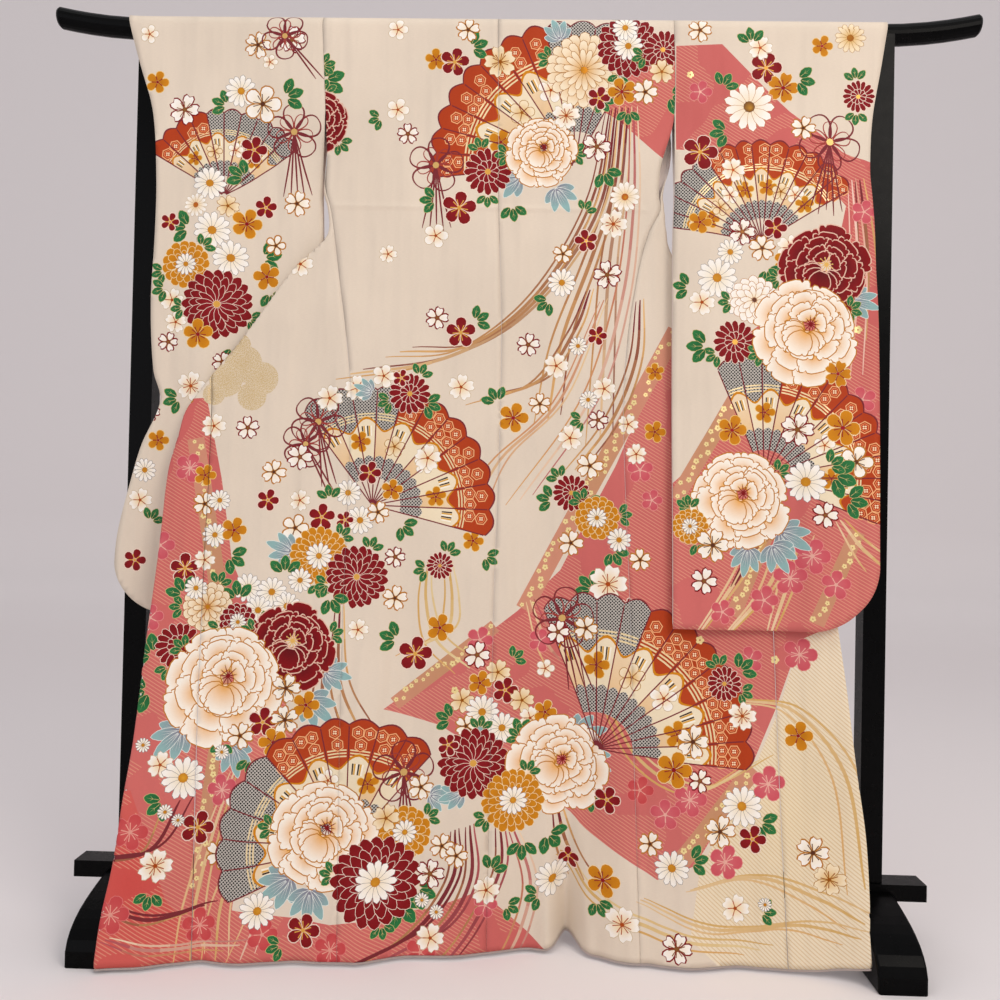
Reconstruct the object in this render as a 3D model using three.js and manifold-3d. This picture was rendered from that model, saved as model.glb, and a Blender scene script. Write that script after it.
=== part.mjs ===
// A long-sleeved silk kimono hung over the bar of a lacquered kimono stand.
// Millimetres, +Z up, floor at Z = 0. The viewer stands at -Y and sees the back of the garment,
// with its two front panels swung out to the sides. Left and right are the viewer's.

import * as THREE from 'three';
import { mergeVertices } from 'three/addons/utils/BufferGeometryUtils.js';
import Module from 'manifold-3d';

const wasm = await Module();
wasm.setup();

// ---------------------------------------------------------------- driving dimensions

// Stand
const BAR_LENGTH = 1680;
const BAR_DEPTH = 40;
const BAR_HEIGHT = 38;
const BAR_CENTRE = 1638;
const BAR_RISE = 20;
const BAR_RISE_START = 660;
const POST_FACE = 683;
const POST_SIZE = 40;
const TENON = 20;
const TENON_FOOT = 55;
const RAIL_HALF = 760;
const RAIL_DEPTH = 50;
const RAIL_THICK = 29;
const RAIL_TOP = 118;
const FOOT_FACE = 700;
const FOOT_WIDTH = 80;
const FOOT_HALF = 187;
const FOOT_CREST = 104;
const FOOT_LIP = 27;
const JOINT_GAP = 0.3;

// Cloth
const CLOTH = 1.4;
const COLLAR_CLOTH = 3;
const SEAM_GAP = 0.4;
const FOLDED_SEAM_GAP = 1;
const EDGING_GAP = 0.6;
const HEM = 9;
const SHOULDER_CLEAR = 2.2;
const RIDGE_Y = BAR_DEPTH / 2 + SHOULDER_CLEAR;
const RIDGE_Z = BAR_HEIGHT / 2 + SHOULDER_CLEAR;
const FRONT_WIDTH_TOP = 230;
const FRONT_WIDTH = 255;
const OKUMI_WIDTH = 160;
const OKUMI_TIP = 1430;
const COLLAR_WIDTH = 55;
const COLLAR_END = 850;
const COLLAR_LIFT = 2.9;
const ARMHOLE = 1474;
const SLIT_END = 1310;
const SLIT_EASE = 110;
const CUFF_END = 1410;
const SLEEVE_CORNER_LEFT = 95;
const SLEEVE_CORNER_RIGHT = 117;
const SEAM_CLOSED = 1.3;
const SLEEVE_OPEN = 5;

// Hem seen from above: how far each place of the hem stands in front of the posts.
const hemPlan = [
  { x: -645, y: -206 }, { x: -494, y: -168 }, { x: -258, y: -151 }, { x: -49, y: -104 },
  { x: 100, y: -74 }, { x: 155, y: -78 }, { x: 248, y: -124 }, { x: 492, y: -121 }, { x: 556, y: -141 },
  { x: 616, y: -172 }, { x: 680, y: -186 },
];

// Seams and edges of the body: x at each height.
const bodyEdges = [
  { z: 1661, leftSide: -348, centre: -29, rightSide: 288 },
  { z: 1474, leftSide: -337, centre: -24, rightSide: 291 },
  { z: 1389, leftSide: -332, centre: -22, rightSide: 270 },
  { z: 1335, leftSide: -332, centre: -21, rightSide: 266 },
  { z: 1308, leftSide: -324, centre: -20, rightSide: 270 },
  { z: 1267, leftSide: -316, centre: -18, rightSide: 250 },
  { z: 1190, leftSide: -305, centre: -14, rightSide: 231 },
  { z: 1076, leftSide: -288, centre: -10, rightSide: 215 },
  { z: 950, leftSide: -275, centre: -9, rightSide: 209 },
  { z: 600, leftSide: -275, centre: -13, rightSide: 225 },
  { z: 300, leftSide: -269, centre: -13, rightSide: 236 },
  { z: 0, leftSide: -258, centre: -12, rightSide: 248 },
];

// How far the free side edges of the fronts show beyond the back's edges in the open slits.
const SLIT_SHOW_LEFT = 4;
const SLIT_SHOW_RIGHT = 16;

// How far each front panel is swung out past its side seam before it folds back under.
const spreadLeft = [
  { z: 1310, out: 5 }, { z: 1265, out: 9 }, { z: 1245, out: 21 }, { z: 1196, out: 77 },
  { z: 1054, out: 196 }, { z: 989, out: 253 }, { z: 932, out: 293 }, { z: 891, out: 304 },
  { z: 823, out: 319 }, { z: 714, out: 324 }, { z: 632, out: 328 }, { z: 527, out: 336 },
  { z: 364, out: 346 }, { z: 266, out: 357 }, { z: 161, out: 367 }, { z: 80, out: 380 },
  { z: 0, out: 386 },
];
const spreadRight = [
  { z: 1310, out: 5 }, { z: 1288, out: 17 }, { z: 1267, out: 31 }, { z: 1249, out: 38 },
  { z: 1219, out: 58 }, { z: 1150, out: 108 }, { z: 1054, out: 196 }, { z: 989, out: 253 },
  { z: 932, out: 291 }, { z: 850, out: 316 }, { z: 700, out: 343 }, { z: 553, out: 356 },
  { z: 461, out: 363 }, { z: 328, out: 370 }, { z: 224, out: 376 }, { z: 120, out: 374 },
  { z: 60, out: 370 }, { z: 0, out: 369 },
];

// Depth of the fold behind the cloth that faces the viewer, how much further back the right
// panel drifts so that it passes behind the left one, and how much the cloth is drawn in.
const FOLD_DEPTH = 8;
const FOLD_LOW = 1240;
const RIGHT_DRIFT = 13;
const DRIFT_WIDTH = 90;
const DRAWN_IN_HIGH = 0.97;
const DRAWN_IN_LEFT = 0.933;
const DRAWN_IN_RIGHT = 0.957;
const DRAWN_IN_FROM = 850;

// Sleeve outlines: x of the inner edge, and of the outer edge of the near and the far layer.
const sleeveLeft = [
  { z: 1661, inner: -348, outer: -706, far: -706 }, { z: 1600, inner: -345, outer: -690, far: -672 },
  { z: 1560, inner: -343, outer: -678, far: -638 }, { z: 1474, inner: -338, outer: -652, far: -634 },
  { z: 1347, inner: -341, outer: -640, far: -634 }, { z: 1250, inner: -338, outer: -640, far: -636 },
  { z: 1126, inner: -338, outer: -644, far: -640 }, { z: 1003, inner: -339, outer: -636, far: -636 },
  { z: 948, inner: -340, outer: -622, far: -622 }, { z: 869, inner: -342, outer: -654, far: -654 },
  { z: 808, inner: -343, outer: -671, far: -671 }, { z: 712, inner: -346, outer: -693, far: -693 },
  { z: 650, inner: -348, outer: -698, far: -698 }, { z: 562, inner: -350, outer: -696, far: -696 },
];
const sleeveRight = [
  { z: 1661, inner: 288, outer: 672, far: 672 }, { z: 1600, inner: 290, outer: 663, far: 655 },
  { z: 1560, inner: 291, outer: 657, far: 638 }, { z: 1474, inner: 292, outer: 643, far: 634 },
  { z: 1379, inner: 292, outer: 637, far: 632 }, { z: 1326, inner: 292, outer: 640, far: 634 },
  { z: 1270, inner: 290, outer: 643, far: 638 }, { z: 1200, inner: 290, outer: 645, far: 644 },
  { z: 1113, inner: 291, outer: 649, far: 649 }, { z: 902, inner: 293, outer: 649, far: 649 },
  { z: 691, inner: 296, outer: 645, far: 645 }, { z: 553, inner: 297, outer: 642, far: 642 },
];
const SLEEVE_LEFT_BOTTOM = 567;
const SLEEVE_RIGHT_BOTTOM = 566;

// The largest folds: a ridge has a positive height, a trough a negative one.
// Each runs from (lowX, low) up to (highX, high) and dies away over its ends.
const folds = [
  { lowX: 128, highX: 116, low: -60, high: 330, height: -46, width: 17 },
  { lowX: 166, highX: 140, low: -60, high: 420, height: 9, width: 16 },
  { lowX: 92, highX: 100, low: -60, high: 420, height: 7, width: 18 },
  { lowX: 52, highX: 70, low: -60, high: 1230, height: -8, width: 30 },
  { lowX: -60, highX: -70, low: -60, high: 1290, height: 6, width: 34 },
  { lowX: -150, highX: -175, low: -60, high: 1250, height: -8, width: 36 },
  { lowX: -225, highX: -240, low: -60, high: 1230, height: 7, width: 26 },
  { lowX: -374, highX: -352, low: 740, high: 1290, height: -7, width: 13 },
  { lowX: -330, highX: -300, low: -60, high: 900, height: -6, width: 26 },
  { lowX: -420, highX: -440, low: -60, high: 1060, height: 8, width: 34 },
  { lowX: -480, highX: -500, low: -60, high: 480, height: -6, width: 18 },
  { lowX: -575, highX: -560, low: -60, high: 800, height: 7, width: 32 },
  { lowX: 200, highX: 175, low: -60, high: 1200, height: 7, width: 26 },
  { lowX: 262, highX: 240, low: -60, high: 1100, height: -6, width: 18 },
  { lowX: 330, highX: 320, low: -60, high: 900, height: 6, width: 30 },
  { lowX: 410, highX: 400, low: -60, high: 800, height: -6, width: 26 },
  { lowX: 500, highX: 480, low: -60, high: 700, height: 5, width: 26 },
  { lowX: 575, highX: 545, low: -60, high: 640, height: -5, width: 20 },
  { lowX: -160, highX: -158, low: 1330, high: 1640, height: -4, width: 22 },
  { lowX: 95, highX: 60, low: 1300, high: 1600, height: -4, width: 26 },
];
const FOLD_FADE = 120;

// Places where the hem is drawn up from the floor.
const hemLifts = [
  { x: 128, width: 21, lift: 18 },
  { x: 640, width: 75, lift: 27 },
];

// The largest folds of the sleeves, as fractions of the sleeve's width.
const sleeveFolds = [
  { across: 0.18, height: 4, width: 0.08 },
  { across: 0.44, height: -4, width: 0.1 },
  { across: 0.7, height: 4, width: 0.08 },
  { across: 0.9, height: -5, width: 0.045 },
];

// ---------------------------------------------------------------- small helpers

const lerp = (a, b, t) => a + (b - a) * t;
const clamp = (v, lo, hi) => Math.min(hi, Math.max(lo, v));

function ease(t) {
  const c = clamp(t, 0, 1);
  return c * c * (3 - 2 * c);
}

// Smooth value of one column of a table whose rows are sorted by another column.
function lookUp(table, key, value, column) {
  const rising = table[0][key] < table[table.length - 1][key];
  const rows = rising ? table : [...table].reverse();
  const last = rows.length - 1;
  const at = clamp(value, rows[0][key], rows[last][key]);
  let i = 0;
  while (i < last - 1 && at > rows[i + 1][key]) i += 1;
  const slope = (n) => {
    const a = rows[Math.max(n - 1, 0)];
    const b = rows[Math.min(n + 1, last)];
    return (b[column] - a[column]) / (b[key] - a[key]);
  };
  const step = rows[i + 1][key] - rows[i][key];
  const t = (at - rows[i][key]) / step;
  const rest = 1 - t;
  return rows[i][column] * (1 + 2 * t) * rest * rest + rows[i + 1][column] * t * t * (3 - 2 * t)
    + step * (slope(i) * t * rest * rest - slope(i + 1) * t * t * rest);
}

// A closed body from a grid of points of a sheet's middle and the sheet's normals there.
// A looped grid joins its last row to its first.
function clothWall(points, normals, thickness, looped = false) {
  const rows = points.length;
  const columns = points[0].length;
  const vertices = [];
  const faces = [];
  for (let i = 0; i < rows; i += 1) {
    for (let j = 0; j < columns; j += 1) {
      vertices.push(points[i][j].clone().addScaledVector(normals[i][j], thickness / 2));
      vertices.push(points[i][j].clone().addScaledVector(normals[i][j], -thickness / 2));
    }
  }
  const at = (i, j, side) => 2 * ((i % rows) * columns + j) + side;
  const quad = (a, b, c, d) => faces.push(a, b, c, a, c, d);
  const last = columns - 1;
  for (let i = 0; i < (looped ? rows : rows - 1); i += 1) {
    for (let j = 0; j < last; j += 1) {
      quad(at(i, j, 0), at(i, j + 1, 0), at(i + 1, j + 1, 0), at(i + 1, j, 0));
      quad(at(i, j, 1), at(i + 1, j, 1), at(i + 1, j + 1, 1), at(i, j + 1, 1));
    }
    quad(at(i, 0, 0), at(i + 1, 0, 0), at(i + 1, 0, 1), at(i, 0, 1));
    quad(at(i, last, 0), at(i, last, 1), at(i + 1, last, 1), at(i + 1, last, 0));
  }
  if (!looped) {
    for (let j = 0; j < last; j += 1) {
      quad(at(0, j, 0), at(0, j, 1), at(0, j + 1, 1), at(0, j + 1, 0));
      quad(at(rows - 1, j, 0), at(rows - 1, j + 1, 0), at(rows - 1, j + 1, 1), at(rows - 1, j, 1));
    }
  }
  return closedGeometry(vertices, faces);
}

// Normals of a grid of points, from each point's neighbours.
function gridNormals(points) {
  const rows = points.length;
  const last = points[0].length - 1;
  return points.map((row, i) => row.map((point, j) => {
    const along = points[(i + 1) % rows][j].clone().sub(points[(i + rows - 1) % rows][j]);
    const across = row[Math.min(j + 1, last)].clone().sub(row[Math.max(j - 1, 0)]);
    return across.cross(along).normalize();
  }));
}

// A closed body through rings of points, capped at both ends.
function loft(rings) {
  const count = rings[0].length;
  const vertices = rings.flat();
  const faces = [];
  for (let i = 0; i < rings.length - 1; i += 1) {
    for (let j = 0; j < count; j += 1) {
      const a = i * count + j;
      const b = i * count + ((j + 1) % count);
      faces.push(a, b, b + count, a, b + count, a + count);
    }
  }
  const start = (rings.length - 1) * count;
  for (let j = 1; j < count - 1; j += 1) {
    faces.push(0, j + 1, j);
    faces.push(start, start + j, start + j + 1);
  }
  return closedGeometry(vertices, faces);
}

// Faces are turned as a whole if they enclose a negative volume.
function closedGeometry(vertices, faces) {
  let volume = 0;
  const cross = new THREE.Vector3();
  for (let k = 0; k < faces.length; k += 3) {
    cross.crossVectors(vertices[faces[k + 1]], vertices[faces[k + 2]]);
    volume += vertices[faces[k]].dot(cross);
  }
  const ordered = volume > 0 ? faces : faces.slice().reverse();
  const geometry = new THREE.BufferGeometry();
  geometry.setAttribute('position', new THREE.Float32BufferAttribute(vertices.flatMap((v) => v.toArray()), 3));
  geometry.setIndex(ordered);
  return geometry;
}

function toSolid(geometry) {
  const plain = geometry.clone();
  plain.deleteAttribute('normal');
  plain.deleteAttribute('uv');
  const merged = mergeVertices(plain, 1e-4);
  return new wasm.Manifold(new wasm.Mesh({
    numProp: 3,
    vertProperties: new Float32Array(merged.attributes.position.array),
    triVerts: new Uint32Array(merged.index.array),
  }));
}

function toGeometry(solid) {
  const mesh = solid.getMesh();
  const geometry = new THREE.BufferGeometry();
  geometry.setAttribute('position', new THREE.Float32BufferAttribute(mesh.vertProperties, 3));
  geometry.setIndex(Array.from(mesh.triVerts));
  return geometry;
}

function block(width, depth, height, x, y, z) {
  const geometry = new THREE.BoxGeometry(width, depth, height);
  geometry.translate(x, y, z);
  return toSolid(geometry);
}

const model = new THREE.Group();

function add(name, geometry, material) {
  const mesh = new THREE.Mesh(geometry, material.clone());
  mesh.name = name;
  model.add(mesh);
}

function surfaceNormal(surface, u, v, step = 0.2) {
  const across = surface(u + step, v).sub(surface(u - step, v));
  const along = surface(u, v + 0.5).sub(surface(u, v - 0.5));
  return across.cross(along).normalize();
}

// A piece of cloth on a surface: 'surface(u, v)' is a point, 'columns(v)' the places across a row.
function addCloth(name, surface, rows, columns, thickness, material, step = 0.2) {
  const points = rows.map((v) => columns(v).map((u) => surface(u, v)));
  const normals = rows.map((v) => columns(v).map((u) => surfaceNormal(surface, u, v, step)));
  add(name, clothWall(points, normals, thickness), material);
}

const lacquer = new THREE.MeshStandardMaterial({ color: '#0b0b0d', roughness: 0.18, metalness: 0 });
const silk = new THREE.MeshStandardMaterial({ color: '#ead9c3', roughness: 0.62, metalness: 0 });
const coralSilk = new THREE.MeshStandardMaterial({ color: '#dd6f73', roughness: 0.62, metalness: 0 });
const lining = new THREE.MeshStandardMaterial({ color: '#f2e6e0', roughness: 0.5, metalness: 0 });

// ---------------------------------------------------------------- the stand

function barRise(x) {
  const past = Math.max(0, Math.abs(x) - BAR_RISE_START) / (BAR_LENGTH / 2 - BAR_RISE_START);
  return BAR_RISE * past * past;
}

// One rounded section of the bar, made a little larger by 'margin' for cutting its seat.
function barRing(x, margin) {
  const ring = [];
  const sides = 20;
  for (let k = 0; k < sides; k += 1) {
    const angle = (2 * Math.PI * k) / sides;
    const y = (BAR_DEPTH / 2 + margin) * Math.cos(angle);
    const z = (BAR_HEIGHT / 2 + margin) * Math.sin(angle);
    ring.push(new THREE.Vector3(x, y, BAR_CENTRE + barRise(x) + z));
  }
  return ring;
}

function barGeometry(margin) {
  const stations = [-840, -836, -810, -780, -745, -700, -660, 0, 660, 700, 745, 780, 810, 836, 840];
  return loft(stations.map((x) => barRing(x, Math.abs(x) === BAR_LENGTH / 2 ? margin - 3 : margin)));
}

// A foot seen from its side: a low loaf that rises from an upright lip to a broad crest.
function footOutline() {
  const outline = new THREE.Shape();
  outline.moveTo(-FOOT_HALF, 0);
  outline.lineTo(FOOT_HALF, 0);
  outline.lineTo(FOOT_HALF, FOOT_LIP);
  outline.bezierCurveTo(FOOT_HALF - 12, 74, 105, 88, 48, FOOT_CREST - 4);
  outline.quadraticCurveTo(34, FOOT_CREST, 20, FOOT_CREST);
  outline.lineTo(-20, FOOT_CREST);
  outline.quadraticCurveTo(-34, FOOT_CREST, -48, FOOT_CREST - 4);
  outline.bezierCurveTo(-105, 88, 12 - FOOT_HALF, 74, -FOOT_HALF, FOOT_LIP);
  return outline;
}

function buildStand() {
  add('bar', barGeometry(0), lacquer);
  const barSeat = toSolid(barGeometry(JOINT_GAP));
  const railMiddle = RAIL_TOP - RAIL_THICK / 2;
  let rail = block(2 * RAIL_HALF, RAIL_DEPTH, RAIL_THICK, 0, 0, railMiddle);
  for (const side of [-1, 1]) {
    const name = side < 0 ? 'left' : 'right';
    const postX = side * (POST_FACE - POST_SIZE / 2);
    const postTop = BAR_CENTRE - 6;
    const postFoot = RAIL_TOP + JOINT_GAP;
    const shaft = block(POST_SIZE, POST_SIZE, postTop - postFoot, postX, 0, (postTop + postFoot) / 2);
    const tenon = block(TENON, TENON, postFoot + 1 - TENON_FOOT, postX, 0, (postFoot + 1 + TENON_FOOT) / 2);
    add(`post_${name}`, toGeometry(shaft.add(tenon).subtract(barSeat)), lacquer);

    const hole = TENON + 2 * JOINT_GAP;
    const mortise = block(hole, hole, RAIL_TOP, postX, 0, TENON_FOOT - JOINT_GAP + RAIL_TOP / 2);
    rail = rail.subtract(mortise);

    const footX = side * (FOOT_FACE - FOOT_WIDTH / 2);
    const loaf = new THREE.ExtrudeGeometry(footOutline(), {
      depth: FOOT_WIDTH - 8,
      bevelEnabled: true,
      bevelThickness: 4,
      bevelSize: 4,
      bevelOffset: -4,
      bevelSegments: 2,
      curveSegments: 8,
    });
    loaf.rotateX(Math.PI / 2);
    loaf.rotateZ(Math.PI / 2);
    loaf.translate(footX - FOOT_WIDTH / 2 + 4, 0, 0);
    const gap = 2 * JOINT_GAP;
    const railSlot = block(FOOT_WIDTH + 20, RAIL_DEPTH + gap, 2 * RAIL_THICK, footX, 0,
      RAIL_TOP - RAIL_THICK - JOINT_GAP + RAIL_THICK);
    add(`foot_${name}`, toGeometry(toSolid(loaf).subtract(railSlot).subtract(mortise)), lacquer);
  }
  add('lower_rail', toGeometry(rail), lacquer);
}

// ---------------------------------------------------------------- the hanging cloth

// Soft vertical folds of the cloth that faces the viewer.
function foldHeight(x, z) {
  let height = 0;
  for (const fold of folds) {
    const t = clamp((z - fold.low) / (fold.high - fold.low), 0, 1);
    const middle = lerp(fold.lowX, fold.highX, t);
    const fade = ease((fold.high - z) / (fold.high - fold.low)) * ease((z - fold.low) / FOLD_FADE + 0.5);
    const away = (x - middle) / (fold.width * (1 + 0.6 * t));
    height += fold.height * fade * Math.exp(-away * away);
  }
  return height;
}

// How far down the cloth a height is: 0 at the bar's middle, 1 at the hem.
const downAt = (z) => clamp((BAR_CENTRE - z) / (BAR_CENTRE - HEM), 0, 1);

// How far back the cloth that faces the viewer lies at each place below the bar.
function clothY(x, z) {
  const down = downAt(z);
  const hem = lookUp(hemPlan, 'x', x, 'y');
  return lerp(-RIDGE_Y, hem, down * down) - foldHeight(x, z) * ease(down * 12);
}

// A height of the cloth, raised near the hem where the hem is drawn up.
function raised(x, z) {
  let lift = 0;
  for (const place of hemLifts) lift += place.lift * Math.exp(-(((x - place.x) / place.width) ** 2));
  return z + lift * downAt(z) ** 6;
}

const edgeX = (z, seam) => lookUp(bodyEdges, 'z', Math.min(z, BAR_CENTRE), seam);
const sideSeam = (side) => (side < 0 ? 'leftSide' : 'rightSide');

// The front's side edge: the side seam, moved outwards where the slit is open.
function frontEdgeX(side, z) {
  const inSlit = clamp((z - SLIT_END) / (ARMHOLE - SLIT_END), 0, 1);
  const show = (side < 0 ? SLIT_SHOW_LEFT : SLIT_SHOW_RIGHT) * Math.sin(Math.PI * inSlit) ** 2;
  const apart = (SEAM_GAP + show) * ease((ARMHOLE - z) / 40);
  return edgeX(z, sideSeam(side)) + side * apart;
}

// Columns from 'from' to 'to', drawn together round 'focus' where the cloth bends most.
function columnsRound(from, to, count, focus, width, strength) {
  const density = (v) => 1 + strength * Math.exp(-(((v - focus) / width) ** 2));
  const samples = 200;
  const total = [0];
  for (let k = 1; k <= samples; k += 1) {
    total.push(total[k - 1] + density(lerp(from, to, (k - 0.5) / samples)));
  }
  const columns = [from];
  let k = 0;
  for (let j = 1; j < count; j += 1) {
    const target = (total[samples] * j) / count;
    while (total[k + 1] < target) k += 1;
    columns.push(lerp(from, to, (k + (target - total[k]) / (total[k + 1] - total[k])) / samples));
  }
  columns.push(to);
  return columns;
}

const evenly = (from, to, count) => columnsRound(from, to, count, 0, 1, 0);

// A point over the bar, on its near side (-1) or its far side (1).
function overBar(x, v, away, extra = 0) {
  const turn = (v - BAR_CENTRE) / RIDGE_Z;
  const y = away * ((RIDGE_Y + extra) * Math.cos(turn) + SEAM_GAP / 2);
  return new THREE.Vector3(x, y, BAR_CENTRE + barRise(x) + (RIDGE_Z + extra) * Math.sin(turn));
}

// ---------------------------------------------------------------- fronts, overlap panels, collar

const frontWidth = (z) => lerp(FRONT_WIDTH, FRONT_WIDTH_TOP, ease((z - 1300) / 360));
const okumiWidth = (z) => lerp(OKUMI_WIDTH, 2, clamp((z - 100) / (OKUMI_TIP - 100), 0, 1) ** 1.5);

// Depth between the cloth that faces the viewer and the layer behind it, twice the fold's radius.
const layerDepth = (z) => lerp(FOLD_DEPTH, 2 * RIDGE_Y, ease((z - FOLD_LOW) / (BAR_CENTRE - FOLD_LOW)));

// How the cloth of one row of a front panel runs: flat outwards from the side seam for a stretch
// that is drawn in a little, then round a soft fold. Above the slit it starts past the fold.
function rowShape(side, z) {
  const radius = layerDepth(z) / 2;
  const hem = side < 0 ? DRAWN_IN_LEFT : DRAWN_IN_RIGHT;
  const drawn = lerp(hem, DRAWN_IN_HIGH, clamp(z / DRAWN_IN_FROM, 0, 1));
  const out = lookUp(side < 0 ? spreadLeft : spreadRight, 'z', z, 'out');
  const flat = Math.max(0, out - radius) / drawn;
  const turned = -Math.PI * radius * ease((z - SLIT_END) / SLIT_EASE);
  return { radius, drawn, straight: z > SLIT_END ? turned : flat };
}

// Height at which the front's sewn edge lies in the middle of the soft fold, found by halving.
function heightOfSeamAtFold() {
  let low = DRAWN_IN_FROM;
  let high = SLIT_END - 60;
  for (let k = 0; k < 40; k += 1) {
    const z = (low + high) / 2;
    const { straight, radius } = rowShape(-1, z);
    if (straight + (Math.PI * radius) / 2 > frontWidth(z)) low = z;
    else high = z;
  }
  return low;
}

const SEAM_AT_FOLD = heightOfSeamAtFold();

// A row of the cloth is a height up to the bar's middle. Above it, a row is that height plus the
// way round the bar. All body pieces share these rows, so that their seams stay side by side.
// Rows lie close together where the seam of the overlap panel passes round the soft fold.
const SHOULDER = BAR_CENTRE + (Math.PI / 2) * RIDGE_Z;
const evenRows = columnsRound(HEM, BAR_CENTRE, 25, SLIT_END + 20, 100, 3);
const hangingRows = [
  ...evenRows.filter((z) => Math.abs(z - SEAM_AT_FOLD) > 28),
  ...[-14, -9, -5, -1.6, 1.6, 5, 9, 14].map((step) => SEAM_AT_FOLD + step),
].sort((a, b) => a - b);
const bodyRows = [...hangingRows, ...[0.34, 0.67, 1].map((t) => lerp(BAR_CENTRE, SHOULDER, t))];

// Outward distance and depth of the cloth 'along' millimetres from the side seam.
function rowPoint({ radius, drawn, straight }, along, drift) {
  const past = along - straight;
  const turn = Math.PI * radius;
  const flat = Math.max(straight, 0) * drawn + Math.min(straight, 0);
  if (past <= 0) return { out: along * drawn, back: 0 };
  if (past < turn) {
    return { out: flat + radius * Math.sin(past / radius), back: radius * (1 - Math.cos(past / radius)) };
  }
  return { out: flat - (past - turn), back: 2 * radius + drift * ease((past - turn) / DRIFT_WIDTH) };
}

// A point of a front panel, of the overlap sewn to it or of the collar beyond.
function frontSurface(side, along, v) {
  const edge = frontEdgeX(side, v);
  if (v > BAR_CENTRE) return overBar(edge - side * along, v, 1);
  const shape = rowShape(side, v);
  const drift = side > 0 ? RIGHT_DRIFT * ease((BAR_CENTRE - v) / 250) : 0;
  const start = Math.min(0, rowPoint(shape, 0, 0).out);
  const { out, back } = rowPoint(shape, along, drift);
  const x = edge + side * (out - start);
  const height = raised(x, v);
  return new THREE.Vector3(x, clothY(x, height) + back, height);
}

// Columns of a piece that may be crossed by the soft fold.
function foldColumns(side, from, to, count, v) {
  if (v > BAR_CENTRE) return evenly(from, to, count);
  const { straight, radius } = rowShape(side, v);
  return columnsRound(from, to, count, straight + (Math.PI * radius) / 2, 3.2 * radius, 7);
}

function addBack(name, side) {
  const surface = (t, v) => {
    const x = lerp(edgeX(v, 'centre') + (side * SEAM_GAP) / 2, edgeX(v, sideSeam(side)), t);
    if (v > BAR_CENTRE) return overBar(x, v, -1);
    const height = raised(x, v);
    return new THREE.Vector3(x, clothY(x, height), height);
  };
  const columns = side < 0 ? evenly(0, 1, 9) : columnsRound(0, 1, 11, 0.52, 0.11, 2.8);
  addCloth(name, surface, bodyRows, () => columns, CLOTH, silk, 0.002);
}

function addFront(name, side, material) {
  const columns = (v) => foldColumns(side, 0, frontWidth(v), 11, v);
  addCloth(name, (u, v) => frontSurface(side, u, v), bodyRows, columns, CLOTH, material);
}

const okumiStart = (v) => frontWidth(v) + FOLDED_SEAM_GAP;
const okumiEnd = (v) => okumiStart(v) + okumiWidth(v);
const okumiRows = hangingRows.filter((z) => z < OKUMI_TIP);

function addOkumi(name, side, material) {
  const columns = (v) => foldColumns(side, okumiStart(v), okumiEnd(v), 7, v);
  addCloth(name, (u, v) => frontSurface(side, u, v), okumiRows, columns, CLOTH, material);
}

// The collar runs up one front edge, across the back of the neck, and down the other. Each row
// crosses the band from its sewn edge to its free edge, and fans out at the two neck corners.
function addCollar() {
  const sewnX = (side, v) => frontEdgeX(side, v) - side * (frontWidth(v) + FOLDED_SEAM_GAP);
  const sewnTop = SHOULDER - 4;
  const freeTop = sewnTop - COLLAR_WIDTH;
  const leftNeck = sewnX(-1, sewnTop);
  const rightNeck = sewnX(1, sewnTop);
  const neckPoint = (x, v) => {
    if (v > BAR_CENTRE) return overBar(x, v, 1, COLLAR_LIFT);
    const onLeft = frontSurface(-1, x - frontEdgeX(-1, v), v);
    const onRight = frontSurface(1, frontEdgeX(1, v) - x, v);
    const point = onLeft.lerp(onRight, ease((x - leftNeck) / (rightNeck - leftNeck))).setX(x);
    point.y += COLLAR_LIFT;
    return point;
  };
  const bandSurface = (side) => (u, v) => {
    const point = frontSurface(side, u, v);
    point.y += COLLAR_LIFT * ease((v - 1420) / 100);
    return point;
  };
  const bandColumns = (side, v) => {
    const start = (v < OKUMI_TIP ? okumiEnd(v) : frontWidth(v)) + FOLDED_SEAM_GAP;
    return foldColumns(side, start, start + COLLAR_WIDTH, 4, v);
  };
  const points = [];
  const normals = [];
  const addRow = (row) => points.push(row);
  const addBandRow = (side, v) => {
    const surface = bandSurface(side);
    const columns = bandColumns(side, v);
    normals[points.length] = columns.map((u) => surfaceNormal(surface, u, v).multiplyScalar(-side));
    addRow(columns.map((u) => surface(u, v)));
  };
  const neckRow = (fromX, fromV, toX, toV) => {
    const row = [0, 0.25, 0.5, 0.75, 1];
    return row.map((t) => neckPoint(lerp(fromX, toX, t), lerp(fromV, toV, t)));
  };
  const rows = hangingRows.filter((z) => z > COLLAR_END && z < freeTop);
  for (const v of rows) addBandRow(-1, v);
  const corner = [0, 0.2, 0.4, 0.6, 0.8, 1];
  const rounding = 10;
  const atCorner = (side, t) => {
    const sewnV = lerp(freeTop, sewnTop, t);
    const free = (side < 0 ? leftNeck : rightNeck) - side * (COLLAR_WIDTH + rounding * t);
    return neckRow(sewnX(side, sewnV), sewnV, free, lerp(freeTop - rounding, freeTop, t));
  };
  for (const t of corner) addRow(atCorner(-1, t));
  for (const t of [0.25, 0.5, 0.75]) {
    const free = COLLAR_WIDTH + rounding;
    addRow(neckRow(lerp(leftNeck, rightNeck, t), sewnTop, lerp(leftNeck + free, rightNeck - free, t), freeTop));
  }
  for (const t of [...corner].reverse()) addRow(atCorner(1, t));
  for (const v of [...rows].reverse()) addBandRow(1, v);
  const wholeNormals = gridNormals(points).map((row, i) => normals[i] ?? row);
  add('collar', clothWall(points, wholeNormals, COLLAR_CLOTH), silk);
}

// ---------------------------------------------------------------- sleeves

const SLEEVE_COLUMNS = [0, 0.2, 0.4, 0.58, 0.72, 0.82, 0.9, 0.96, 1];

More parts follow.
